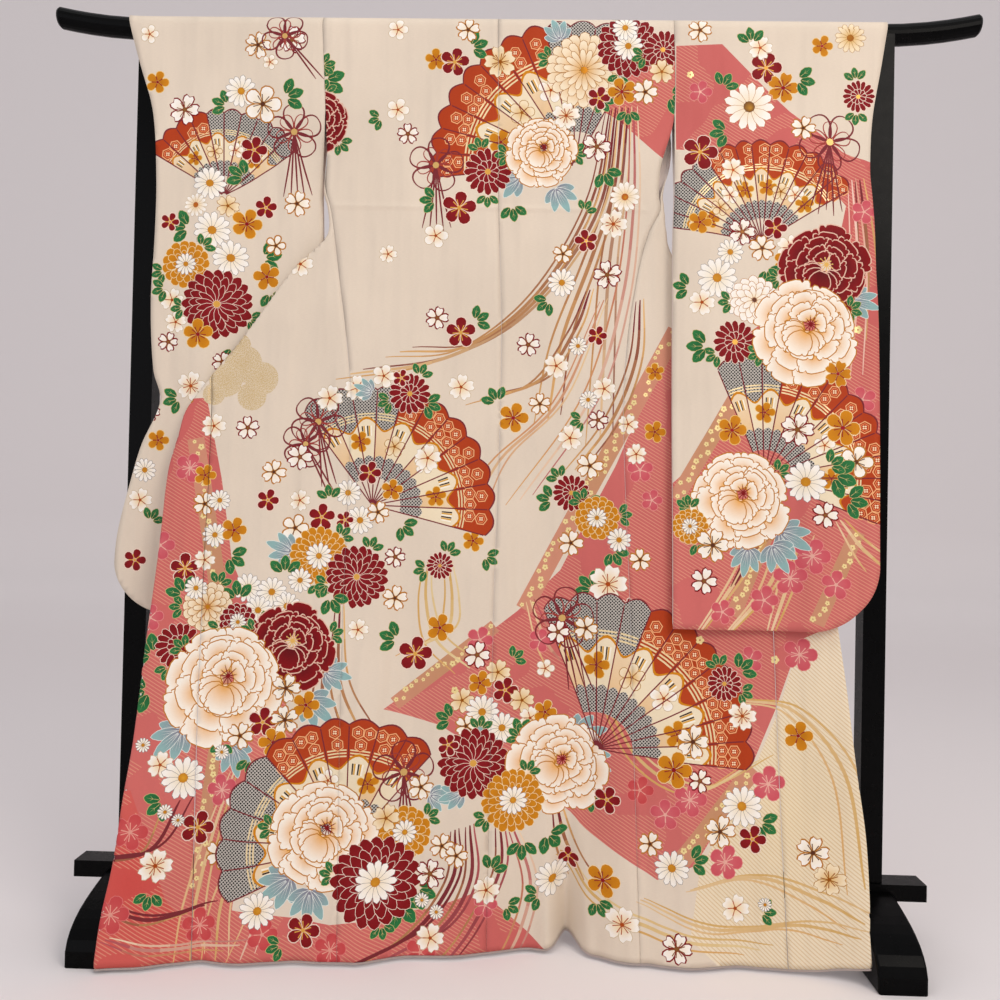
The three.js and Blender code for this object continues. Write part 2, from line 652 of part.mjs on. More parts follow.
// Depth of the near and the far layer of the left sleeve, which hangs behind the left front.
function leftSleeveDepth(across, z) {
  const inward = ease((across - 0.15) / 0.65);
  const middle = lerp(-8, -28, inward);
  const low = ease((1560 - z) / 260);
  return { near: lerp(-RIDGE_Y, middle - SLEEVE_OPEN, low), far: lerp(RIDGE_Y, middle + SLEEVE_OPEN, low) };
}

// The right sleeve hangs in front of the right front, so it follows that cloth.
function rightSleeveDepth(across, z, x) {
  const under = clothY(x, z) + foldHeight(x, z);
  const low = ease((1560 - z) / 300);
  return { near: lerp(-RIDGE_Y, under - 18, low), far: lerp(RIDGE_Y, under - 18 + 2 * SLEEVE_OPEN, low) };
}

function addSleeve(name, side) {
  const table = side < 0 ? sleeveLeft : sleeveRight;
  const bottom = side < 0 ? SLEEVE_LEFT_BOTTOM : SLEEVE_RIGHT_BOTTOM;
  const lowerRows = 13;
  const width = Math.abs(lookUp(table, 'z', bottom, 'outer') - lookUp(table, 'z', bottom, 'inner'));

  // The rounded corner lifts the bottom towards the outer edge.
  const corner = side < 0 ? SLEEVE_CORNER_LEFT : SLEEVE_CORNER_RIGHT;
  const bottomZ = (across) => {
    const into = clamp((across * width - (width - corner)) / corner, 0, 1);
    return bottom + corner * (1 - Math.sqrt(1 - into * into * 0.995));
  };

  const layerX = (across, z, layer) => {
    const inner = z >= ARMHOLE ? edgeX(z, sideSeam(side)) : lookUp(table, 'z', z, 'inner');
    return lerp(inner + side * SEAM_GAP, lookUp(table, 'z', z, layer), across);
  };

  const sleevePoint = (across, z, isNear) => {
    const x = layerX(across, z, isNear ? 'outer' : 'far');
    const depth = side < 0 ? leftSleeveDepth(across, z) : rightSleeveDepth(across, z, x);
    const closing = ease((across - 0.86) / 0.14) * ease((CUFF_END + 60 - z) / 60);
    const far = lerp(depth.far, Math.min(depth.far, depth.near + 2 * SEAM_CLOSED), closing);
    let folded = 0;
    for (const fold of sleeveFolds) {
      const away = (across - fold.across) / fold.width;
      folded += fold.height * Math.exp(-away * away);
    }
    folded *= ease((BAR_CENTRE - z) / 260);
    if (side < 0) folded *= 1 - ease((Math.abs(x) - 585) / 40);
    let y = (isNear ? depth.near : far) - folded;
    const sewn = (1 - ease(across / 0.3)) * ease((z - ARMHOLE + 70) / 70);
    const seamX = edgeX(z, sideSeam(side));
    y = lerp(y, clothY(seamX, z) + (isNear ? 0 : layerDepth(z)), sewn);
    return new THREE.Vector3(x, y, z);
  };

  // Rows of one layer from the bottom up: evenly spaced below the armhole, the body's rows above.
  const sewnRows = hangingRows.filter((z) => z >= ARMHOLE);
  const layerRow = (k, isNear) => SLEEVE_COLUMNS.map((a) => {
    const z = k < lowerRows ? lerp(bottomZ(a) + 6, sewnRows[0], k / lowerRows) : sewnRows[k - lowerRows];
    return sleevePoint(a, z, isNear);
  });
  const count = lowerRows + sewnRows.length;
  const points = [];
  for (let k = 0; k < count; k += 1) points.push(layerRow(k, true));
  for (const turn of [30, 60, 90, 120, 150]) {
    const angle = THREE.MathUtils.degToRad(turn);
    points.push(SLEEVE_COLUMNS.map((a) => {
      const x = layerX(a, BAR_CENTRE + RIDGE_Z * Math.sin(angle), 'outer');
      const z = BAR_CENTRE + barRise(x) + RIDGE_Z * Math.sin(angle);
      return new THREE.Vector3(x, -RIDGE_Y * Math.cos(angle), z);
    }));
  }
  for (let k = count - 1; k >= 0; k -= 1) points.push(layerRow(k, false));
  points.push(SLEEVE_COLUMNS.map((a) => {
    const near = sleevePoint(a, bottomZ(a) + 6, true);
    const far = sleevePoint(a, bottomZ(a) + 6, false);
    return near.add(far).multiplyScalar(0.5).setZ(bottomZ(a));
  }));
  add(name, clothWall(points, gridNormals(points), CLOTH, true), silk);
}

// ---------------------------------------------------------------- the rolled hem of the skirt lining

function addHemEdging() {
  const stations = 60;
  const halfHeight = 1.6;
  const halfDepth = 1.7;
  const outermost = (side) => {
    const shape = rowShape(side, HEM);
    return frontEdgeX(side, HEM) + side * (shape.straight * shape.drawn + 2);
  };
  const hemY = (x) => clothY(x, raised(x, HEM));
  const rings = columnsRound(outermost(-1), outermost(1), stations, hemLifts[0].x, 40, 2).map((x) => {
    const z = raised(x, HEM) - halfHeight - EDGING_GAP;
    const y = hemY(x);
    const slope = (hemY(x + 2) - hemY(x - 2)) / 4;
    const length = Math.hypot(1, slope);
    const ring = [];
    for (let k = 0; k < 6; k += 1) {
      const angle = (Math.PI * k) / 3 + Math.PI / 6;
      const side = halfDepth * Math.cos(angle);
      const up = halfHeight * Math.sin(angle);
      ring.push(new THREE.Vector3(x - (side * slope) / length, y + side / length, z + up));
    }
    return ring;
  });
  add('hem_edging', loft(rings), lining);
}

// ---------------------------------------------------------------- the whole

buildStand();
addBack('back_left', -1);
addBack('back_right', 1);
addFront('front_left', -1, coralSilk);
addFront('front_right', 1, silk);
addOkumi('okumi_left', -1, coralSilk);
addOkumi('okumi_right', 1, silk);
addCollar();
addSleeve('sleeve_left', -1);
addSleeve('sleeve_right', 1);
addHemEdging();

// The origin is on the floor under the middle of the whole.
const bounds = new THREE.Box3().setFromObject(model);
const centre = bounds.getCenter(new THREE.Vector3());
model.position.set(-centre.x, -centre.y, -bounds.min.z);
model.updateMatrixWorld(true);

export default model;
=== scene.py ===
# A long-sleeved silk kimono hung over the bar of a lacquered kimono stand.
# Lengths in the tables are millimetres, the same as in the solids; meshes are made in metres.

import math
import random
import bpy
import numpy as np
from mathutils import Matrix, Vector
from mathutils.bvhtree import BVHTree
from mathutils.geometry import delaunay_2d_cdt


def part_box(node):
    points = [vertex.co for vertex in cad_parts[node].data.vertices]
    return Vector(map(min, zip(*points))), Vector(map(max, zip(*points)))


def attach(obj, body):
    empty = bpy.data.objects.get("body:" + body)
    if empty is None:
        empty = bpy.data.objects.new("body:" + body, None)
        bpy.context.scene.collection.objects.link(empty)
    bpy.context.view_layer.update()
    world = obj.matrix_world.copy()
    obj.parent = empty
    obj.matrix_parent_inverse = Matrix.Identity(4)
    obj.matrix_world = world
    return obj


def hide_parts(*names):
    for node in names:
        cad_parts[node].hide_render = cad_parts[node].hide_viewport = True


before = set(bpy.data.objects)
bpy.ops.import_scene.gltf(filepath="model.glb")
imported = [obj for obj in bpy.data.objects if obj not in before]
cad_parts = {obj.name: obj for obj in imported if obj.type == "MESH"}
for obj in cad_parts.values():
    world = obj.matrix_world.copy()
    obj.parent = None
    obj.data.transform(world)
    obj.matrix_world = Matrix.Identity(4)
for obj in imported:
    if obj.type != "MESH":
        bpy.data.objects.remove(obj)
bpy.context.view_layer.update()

random.seed(7)

# ------------------------------------------------------------------ the stand
# A bowed bar on two posts, held apart by a lower rail, on two shaped feet: planed softwood, pegged
# together and coated with black lacquer. The shapes are the solids' own; they only take the lacquer.


def linear(hex_colour):
    """An sRGB colour such as 'e6d7c4' as linear numbers."""
    parts = [int(hex_colour[i : i + 2], 16) / 255 for i in (0, 2, 4)]
    return tuple(c / 12.92 if c <= 0.04045 else ((c + 0.055) / 1.055) ** 2.4 for c in parts)


def new_material(name):
    """A material with its node tree and its shader."""
    material = bpy.data.materials.new(name)
    material.use_nodes = True
    tree = material.node_tree
    return material, tree, tree.nodes["Principled BSDF"]


def set_inputs(tree, node, inputs):
    """Sets a shader node's inputs, each to a socket, a number or a hex colour."""
    for name, value in inputs.items():
        if isinstance(value, bpy.types.NodeSocket):
            tree.links.new(value, node.inputs[name])
        else:
            node.inputs[name].default_value = (*linear(value), 1) if isinstance(value, str) else value


def add_node(tree, kind, inputs, out=0, **settings):
    """Adds a shader node with its settings and inputs, and returns one of its outputs."""
    node = tree.nodes.new("ShaderNode" + kind)
    for key, value in settings.items():
        setattr(node, key, value)
    set_inputs(tree, node, inputs)
    return node.outputs[out]


# Hand-brushed black lacquer: deep and smooth, with a soft gloss and the faintest ripple. Its ripples are
# about 70 mm long, and the haze that roughens it here and there about 17 mm.
def lacquer():
    material, tree, shader = new_material("black_lacquer")
    place = add_node(tree, "TexCoord", {}, "Object")
    ripple = add_node(tree, "TexNoise", {"Vector": place, "Scale": 14, "Detail": 2}, "Fac")
    haze = add_node(tree, "TexNoise", {"Vector": place, "Scale": 60, "Detail": 4}, "Fac")
    set_inputs(tree, shader, {
        "Base Color": add_node(tree, "Mix", {0: haze, 6: "010101", 7: "040405"}, 2, data_type="RGBA"),
        "Roughness": add_node(tree, "MapRange", {"Value": haze, "To Min": 0.22, "To Max": 0.36}, "Result"),
        "Normal": add_node(tree, "Bump", {"Height": ripple, "Strength": 0.12, "Distance": 0.002}, "Normal"),
        "Specular IOR Level": 0.06, "Coat Weight": 0.02, "Coat Roughness": 0.12,
    })
    return material


BLACK_LACQUER = lacquer()
for piece in ("bar", "post_left", "post_right", "lower_rail", "foot_left", "foot_right"):
    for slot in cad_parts[piece].material_slots:
        slot.material = BLACK_LACQUER

# ------------------------------------------------------------------ the back panels
# Two lengths of silk crepe, joined by the centre-back seam and lined with plain silk. They hang from the
# bar, which the shoulders fold over, down to the hem, with a tuck sewn across the waist.

# The whole is centred, so the stand's own middle lies a little behind the origin.
bar_low, bar_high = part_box("bar")
SHIFT_Y = (bar_low.y + bar_high.y) * 500

BAR_CENTRE = 1638
BAR_HALF = 840
BAR_RISE = 20
BAR_RISE_START = 660
RIDGE_Y = 22.2
RIDGE_Z = 21.2
SHOULDER = BAR_CENTRE + math.pi / 2 * RIDGE_Z
HEM = 9
CLOTH = 1.3
SEAM_GAP = 0.4

# Hem seen from above, and the seams of the body at each height.
HEM_PLAN = [(-645, -206), (-494, -168), (-258, -151), (-49, -104), (100, -74), (155, -78),
            (248, -124), (492, -121), (556, -141), (616, -172), (680, -186)]
SEAM_Z = [1661, 1474, 1389, 1335, 1308, 1267, 1190, 1076, 950, 600, 300, 0]
SEAM_X = {
    "left": [-348, -337, -332, -332, -324, -316, -305, -288, -275, -275, -269, -258],
    "centre": [-29, -24, -22, -21, -20, -18, -14, -10, -9, -13, -13, -12],
    "right": [288, 291, 270, 266, 270, 250, 231, 215, 209, 225, 236, 248],
}
# Where the hem lies higher: x, width and height.
HEM_LIFTS = [(128, 21, 18), (640, 75, 27)]

# The tuck: its height, depth and half width, and where it begins and ends.
TUCK_HEIGHT, TUCK_DEPTH, TUCK_HALF = 1307, 1.5, 4
TUCK_FROM, TUCK_TO = -322, 246

# The largest folds: x at the bottom and top, lowest and highest place, height (ridge +), width.
FOLDS = [
    (128, 116, -60, 330, -46, 17), (166, 140, -60, 420, 9, 16), (92, 100, -60, 420, 7, 18),
    (52, 70, -60, 1230, -8, 30), (-60, -70, -60, 1290, 6, 34), (-150, -175, -60, 1250, -8, 36),
    (-225, -240, -60, 1230, 7, 26), (-374, -352, 740, 1290, -7, 13), (-330, -300, -60, 900, -6, 26),
    (-420, -440, -60, 1060, 8, 34), (-480, -500, -60, 480, -6, 18), (-575, -560, -60, 800, 7, 32),
    (200, 175, -60, 1200, 7, 26), (262, 240, -60, 1100, -6, 18), (330, 320, -60, 900, 6, 30),
    (410, 400, -60, 800, -6, 26), (500, 480, -60, 700, 5, 26), (575, 545, -60, 640, -5, 20),
    (-160, -158, 1330, 1640, -4, 22), (95, 60, 1300, 1600, -4, 26),
]
# Finer creases of the same kind, too small for the solids.
CREASES = [
    (-300, -296, 1330, 1560, 1.6, 9), (-262, -240, 1180, 1400, -1.4, 11), (-110, -96, 900, 1300, -1.6, 14),
    (-20, -44, 1080, 1320, 1.5, 12), (30, 24, 700, 1180, -1.6, 13), (118, 130, 980, 1290, 1.8, 12),
    (168, 150, 1060, 1300, -1.8, 10), (215, 236, 1290, 1420, 1.4, 9), (-200, -214, 320, 900, 1.8, 12),
    (-36, -30, 60, 560, 1.8, 13), (16, 30, -40, 420, -1.6, 12), (224, 214, 120, 640, -1.6, 9),
    (300, 285, -40, 420, -1.8, 11), (455, 440, -40, 430, 1.8, 12), (540, 520, 120, 560, 1.5, 10),
    (-300, -318, 940, 1190, 2.2, 10), (-392, -384, 960, 1130, 1.8, 8), (-455, -470, 560, 940, -1.8, 12),
    (-520, -512, -40, 560, 1.6, 10), (-612, -590, 60, 420, -1.4, 9), (-240, -236, -40, 260, -1.6, 10),
    (70, 74, 380, 700, 1.4, 9), (-88, -92, 480, 860, 1.4, 10),
]


def lerp(a, b, t):
    """From a to b as t goes from 0 to 1."""
    return a + (b - a) * t


def ease(t):
    """A soft step from 0 to 1."""
    c = np.clip(t, 0, 1)
    return c * c * (3 - 2 * c)


def look_up(keys, values, at):
    """Smooth value of a table at each place, the same curve that the solids use."""
    k, v = np.array(keys, float), np.array(values, float)
    if k[0] > k[-1]:
        k, v = k[::-1], v[::-1]
    at = np.clip(at, k[0], k[-1])
    i = np.clip(np.searchsorted(k, at, side="left") - 1, 0, len(k) - 2)
    slope = np.empty(len(k))
    slope[1:-1] = (v[2:] - v[:-2]) / (k[2:] - k[:-2])
    slope[0], slope[-1] = (v[1] - v[0]) / (k[1] - k[0]), (v[-1] - v[-2]) / (k[-1] - k[-2])
    step = k[i + 1] - k[i]
    t = (at - k[i]) / step
    r = 1 - t
    bend = slope[i] * t * r * r - slope[i + 1] * t * t * r
    return v[i] * (1 + 2 * t) * r * r + v[i + 1] * t * t * (3 - 2 * t) + step * bend


def folds_at(x, z, table):
    """Height of all the folds of a table at a place on the body."""
    height = np.zeros(np.broadcast(x, z).shape)
    for low_x, high_x, low, high, size, width in table:
        t = np.clip((z - low) / (high - low), 0, 1)
        fade = ease((high - z) / (high - low)) * ease((z - low) / 120 + 0.5)
        if table is CREASES:
            fade = ease((high - z) / (high - low) * 4) * ease((z - low) / (high - low) * 4)
        away = (x - lerp(low_x, high_x, t)) / (width * (1 + 0.6 * t))
        height += size * fade * np.exp(-away * away)
    return height


def down_at(z):
    """0 at the bar, 1 at the hem."""
    return np.clip((BAR_CENTRE - z) / (BAR_CENTRE - HEM), 0, 1)


def cloth_y(x, z, fine=True):
    """Depth of the hanging back at a place, with its folds, and its creases and tuck where 'fine'."""
    down = down_at(z)
    hem = look_up([p[0] for p in HEM_PLAN], [p[1] for p in HEM_PLAN], x)
    y = lerp(-RIDGE_Y, hem, down * down) - folds_at(x, z, FOLDS) * ease(down * 12)
    if not fine:
        return y
    tuck = TUCK_DEPTH * np.exp(-(((z - TUCK_HEIGHT) / TUCK_HALF) ** 2))
    tuck = tuck * ease((x - TUCK_FROM) / 6) * ease((TUCK_TO - x) / 6)
    return y - folds_at(x, z, CREASES) - tuck


def raised(x, z):
    """The height of a place of the flat body once the hem's lifts have drawn it up."""
    lift = sum(size * np.exp(-(((x - place) / width) ** 2)) for place, width, size in HEM_LIFTS)
    return z + lift * down_at(z) ** 6


def edge_x(z, seam):
    """Where a seam of the body runs at a height."""
    return look_up(SEAM_Z, SEAM_X[seam], np.minimum(z, BAR_CENTRE))


def sign(side):
    """The way out from the middle."""
    return -1 if side == "left" else 1


def bar_rise(x):
    """How far the ends of the bar bow up."""
    past = np.maximum(0, np.abs(x) - BAR_RISE_START) / (BAR_HALF - BAR_RISE_START)
    return BAR_RISE * past * past


def over_bar(x, v, away, extra=0):
    """The round of the cloth over the bar; 'away' is 1 behind the ridge and -1 before it."""
    turn = (v - BAR_CENTRE) / RIDGE_Z
    y = away * ((RIDGE_Y + extra) * np.cos(turn) + SEAM_GAP / 2)
    return x, y, BAR_CENTRE + bar_rise(x) + (RIDGE_Z + extra) * np.sin(turn)


def back_surface(x, v):
    """A place of the back panels; v is the height with the cloth laid flat."""
    height = raised(x, v)
    bx, by, bz = over_bar(x, v, -1)
    over = v > BAR_CENTRE
    return np.where(over, bx, x), np.where(over, by, cloth_y(x, height)), np.where(over, bz, height)


# The print, laid flat: coloured shapes, which the cloth's mesh is then cut along.
LONGEST = 11
# Which fine pattern lies on a shape; the cloth's mesh carries the number in its colour's alpha.
PLAIN, HATCH, PALE_HATCH, MESH, DUST, GOLD = 1.0, 0.9, 0.7, 0.5, 0.3, 0.1
GROUND = "e2d3c0"


class Print:
    """Flat coloured shapes in the order that they are laid down, the last on top."""

    def __init__(self):
        self.shapes = []

    def add(self, points, colour, rim=None, centre=(0, 0), radius=1.0, weave=PLAIN):
        """One shape, its long edges cut up so that they follow the folds.

        Its colour goes over to 'rim' with the distance from 'centre' up to 'radius'.
        """
        p = counter_clockwise(np.asarray(points, float))
        after = np.roll(p, -1, axis=0)
        cuts = np.ceil(np.linalg.norm(after - p, axis=1) / LONGEST).astype(int).clip(1)
        if cuts.max() > 1:
            p = np.concatenate([lerp(a, b, np.arange(n)[:, None] / n) for a, b, n in zip(p, after, cuts)])
        inner = linear(colour) if isinstance(colour, str) else colour
        outer = linear(rim) if isinstance(rim, str) else inner
        self.shapes.append((p, inner, outer, tuple(centre), radius, weave))


def signed_area(ring):
    """A ring's area, negative if it runs clockwise."""
    x, y = ring[:, 0], ring[:, 1]
    return np.sum(x * np.roll(y, -1) - np.roll(x, -1) * y) / 2


def counter_clockwise(ring):
    return ring[::-1] if signed_area(ring) < 0 else ring


def touches(points, low, high):
    """True if the box round a shape touches the box from low to high."""
    return (points.max(0) > low).all() and (points.min(0) < high).all()


def is_inside(ring, points):
    """True for each point that lies inside a ring."""
    inside = np.zeros(len(points), bool)
    for (ax, ay), (bx, by) in zip(ring, np.roll(ring, -1, axis=0)):
        crosses = (ay > points[:, 1]) != (by > points[:, 1])
        inside ^= crosses & (points[:, 0] < (bx - ax) * (points[:, 1] - ay) / (by - ay + 1e-12) + ax)
    return inside


def topmost(owners, middles, rings):
    """The last shape that really covers each triangle.

    A shape that claims cloth outside its own box is looked at closely.
    """
    low, high = np.array([r.min(0) for r in rings]) - 0.1, np.array([r.max(0) for r in rings]) + 0.1
    ranked = [sorted(own, reverse=True) for own in owners]
    top = np.array([own[0] for own in ranked])
    out = ((middles < low[top]) | (middles > high[top])).any(1)
    doubtful = set(top[out].tolist())
    covers = lambda shape, k: is_inside(rings[shape], middles[k : k + 1])[0]
    while out.any():
        for k in np.flatnonzero(np.isin(top, list(doubtful))):
            while len(ranked[k]) > 1 and ranked[k][0] in doubtful and not covers(ranked[k][0], k):
                ranked[k].pop(0)
            top[k] = ranked[k][0]
        out = ((middles < low[top]) | (middles > high[top])).any(1) & (top > 0)
        doubtful |= set(top[out].tolist())
    return top


def triangle_edges(tri):
    """The three sides of all triangles, each way round as its triangle has it."""
    return np.concatenate([tri[:, [0, 1]], tri[:, [1, 2]], tri[:, [2, 0]]])


def boundary_of(tri):
    """The outline's vertices in order, from the edges that only one triangle has."""
    known = set(map(tuple, triangle_edges(tri).tolist()))
    after = {a: b for a, b in known if (b, a) not in known}
    first = next(iter(after))
    ring, at = [first], after[first]
    while at != first:
        ring.append(at)
        at = after[at]
    return ring


def without_hidden_edges(xy, tri, top, inside):
    """The same coloured areas in fewer triangles: edges with one shape on both sides are left out."""
    count = len(xy)
    edges, owner = triangle_edges(tri), np.tile(top, 3)
    key, twin = edges[:, 0] * count + edges[:, 1], edges[:, 1] * count + edges[:, 0]
    order = np.argsort(key)
    at = np.clip(np.searchsorted(key[order], twin), 0, len(key) - 1)
    paired = key[order][at] == twin
    seen = edges[paired & (owner != owner[order][at]) & (edges[:, 0] < edges[:, 1])]
    ring = boundary_of(tri)
    kept, numbers = np.unique(np.concatenate([ring, seen.ravel()]), return_inverse=True)
    flat = [Vector(p) for p in np.concatenate([xy[kept], inside])]
    seen_edges = numbers[len(ring) :].reshape(-1, 2).tolist()
    verts, _, tris, _, _, _ = delaunay_2d_cdt(flat, seen_edges, [numbers[: len(ring)].tolist()], 1, 0.02)
    old = BVHTree.FromPolygons([(x, y, 0) for x, y in xy.tolist()], tri.tolist(), all_triangles=True)
    new_xy, new_tri = np.array([tuple(v) for v in verts]), np.array(tris)
    owners = []
    for x, y in new_xy[new_tri].mean(1).tolist():
        hit = old.ray_cast((x, y, 1), (0, 0, -1))[2]
        owners.append(top[old.find_nearest((x, y, 0))[2] if hit is None else hit])
    return new_xy, new_tri, np.array(owners)


def cut_cloth(outline, inside, shapes):
    """Triangles of a flat outline that follow the print's edges, with a colour for each corner."""
    outline = counter_clockwise(outline)
    low, high = outline.min(0), outline.max(0)
    used = [s for s in shapes if touches(s[0], low, high)]
    rings = [outline] + [s[0] for s in used]
    starts = np.cumsum([0] + [len(ring) for ring in rings]).tolist()
    faces = [list(range(a, b)) for a, b in zip(starts, starts[1:])]
    flat = [Vector(p) for p in np.concatenate(rings + [inside])]
    verts, _, tris, _, _, owners = delaunay_2d_cdt(flat, [], faces, 1, 0.02)
    keep = [k for k, own in enumerate(owners) if 0 in own]
    tri = np.array([tris[k] for k in keep])
    xy = np.array([tuple(v) for v in verts])
    top = topmost([owners[k] for k in keep], xy[tri].mean(1), rings)
    if used:
        xy, tri, top = without_hidden_edges(xy, tri, top, inside)
    ground = (None, linear(GROUND), linear(GROUND), (0, 0), 1.0, PLAIN)
    inner, rim, centre, radius, weave = (
        np.array([s[k] for s in [ground] + used], float)[top] for k in range(1, 6))
    away = np.linalg.norm(xy[tri] - centre[:, None, :], axis=2) / radius[:, None]
    colours = lerp(inner[:, None, :], rim[:, None, :], np.clip(away, 0, 1)[:, :, None])
    colours = np.concatenate([colours, np.repeat(weave[:, None, None], 3, axis=1)], 2)
    used_verts, tri = np.unique(tri, return_inverse=True)
    return xy[used_verts], tri.reshape(-1, 3), colours


def placed(surface, xy, offset, step=0.3):
    """Points of a surface moved out along its normals, in metres."""
    x, v = xy[:, 0], xy[:, 1]
    at = lambda a, b: np.stack(surface(a, b), 1)
    across = at(x + step, v) - at(x - step, v)
    along = at(x, v + step) - at(x, v - step)
    normal = np.cross(across, along)
    normal /= np.linalg.norm(normal, axis=1)[:, None] + 1e-12
    return (at(x, v) + normal * offset + (0, SHIFT_Y, 0)) / 1000


def build_cloth(node, surface, outline, inside, shapes, area, thickness=CLOTH):
    """A thin closed shell in place of a solid: printed outside, plain inside, with a narrow edge between."""
    xy, tri, colours = cut_cloth(outline, inside, shapes)
    ring = boundary_of(tri)
    inner_xy, inner_tri, _ = cut_cloth(xy[ring], inside, [])
    outer = placed(surface, xy, thickness / 2)
    inner = placed(surface, inner_xy, -thickness / 2)
    across = {tuple(np.round(inner_xy[i], 3)): i for i in boundary_of(inner_tri)}
    pairs = [across.get(tuple(np.round(xy[i], 3))) for i in ring]
    count = len(outer)
    rim = [(b, a, count + c, count + d)
           for a, b, c, d in zip(ring, ring[1:] + ring[:1], pairs, pairs[1:] + pairs[:1])
           if c is not None and d is not None]
    faces = [tuple(t) for t in tri.tolist()]
    faces += [(count + c, count + b, count + a) for a, b, c in inner_tri.tolist()]
    faces += rim
    mesh = bpy.data.meshes.new("kimono_" + node)
    mesh.from_pydata(np.concatenate([outer, inner]).tolist(), [], faces)
    slots = np.zeros(len(faces), int)
    slots[len(tri) : len(tri) + len(inner_tri)] = 1
    mesh.polygons.foreach_set("material_index", slots)
    mesh.polygons.foreach_set("use_smooth", np.ones(len(faces), bool))
    values = np.ones((len(mesh.loops), 4), np.float32)
    values[: 3 * len(tri)] = colours.reshape(-1, 4)
    at_vertex = np.ones((count, 4))
    at_vertex[tri.ravel()] = colours.reshape(-1, 4)
    values[3 * (len(tri) + len(inner_tri)) :] = (
        at_vertex[[(f[0], f[1], f[1], f[0]) for f in rim]].reshape(-1, 4))
    mesh.color_attributes.new("print", "FLOAT_COLOR", "CORNER").data.foreach_set("color", values.ravel())
    corners = np.empty(len(mesh.loops), np.int32)
    mesh.loops.foreach_get("vertex_index", corners)
    on_cloth = np.concatenate([xy, inner_xy]) / 1000
    mesh.uv_layers.new(name="cloth").data.foreach_set("uv", on_cloth[corners].ravel())
    for material in (PRINTED_SILK, LINING_SILK):
        mesh.materials.append(material)
    mesh.update()
    mesh.validate()
    made = bpy.data.objects.new("kimono_" + node, mesh)
    bpy.context.scene.collection.objects.link(made)
    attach(made, "root")
    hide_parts(node)


def near_folds(z):
    """Extra columns where a narrow fold crosses a row."""
    extra = []
    for low_x, high_x, low, high, size, width in FOLDS:
        if width < 20 and low < z < high + 20:
            middle = lerp(low_x, high_x, (z - low) / (high - low))
            extra += [middle + k * width * 0.22 for k in range(-9, 10)]
    return extra


def spaced(low, high, step):
    """Even places from low to high, about a step apart."""
    return np.linspace(low, high, max(1, round((high - low) / step)) + 1)


def joined(*sides):
    """One closed outline from its sides, each a pair of lists of x and height."""
    return np.concatenate([np.stack(np.broadcast_arrays(x, z), 1)[:-1] for x, z in sides])


# Silk crepe: its uneven weft gives a soft, slightly slubbed grain and little gloss. The grain is 1.4 mm and
# the weft's slubs 7 mm long, and broad ripples down the cloth show that it hangs. Hatching, woven mesh and
# gold dust are fine lines and specks over the print's colours, and gold is a little metallic.
CLOUDS, GRAINS, WEFT, RIPPLES = 5, 700, (140, 1400, 0), (15, 2.2, 0)
PATCHES, SPECKS = 9, 620


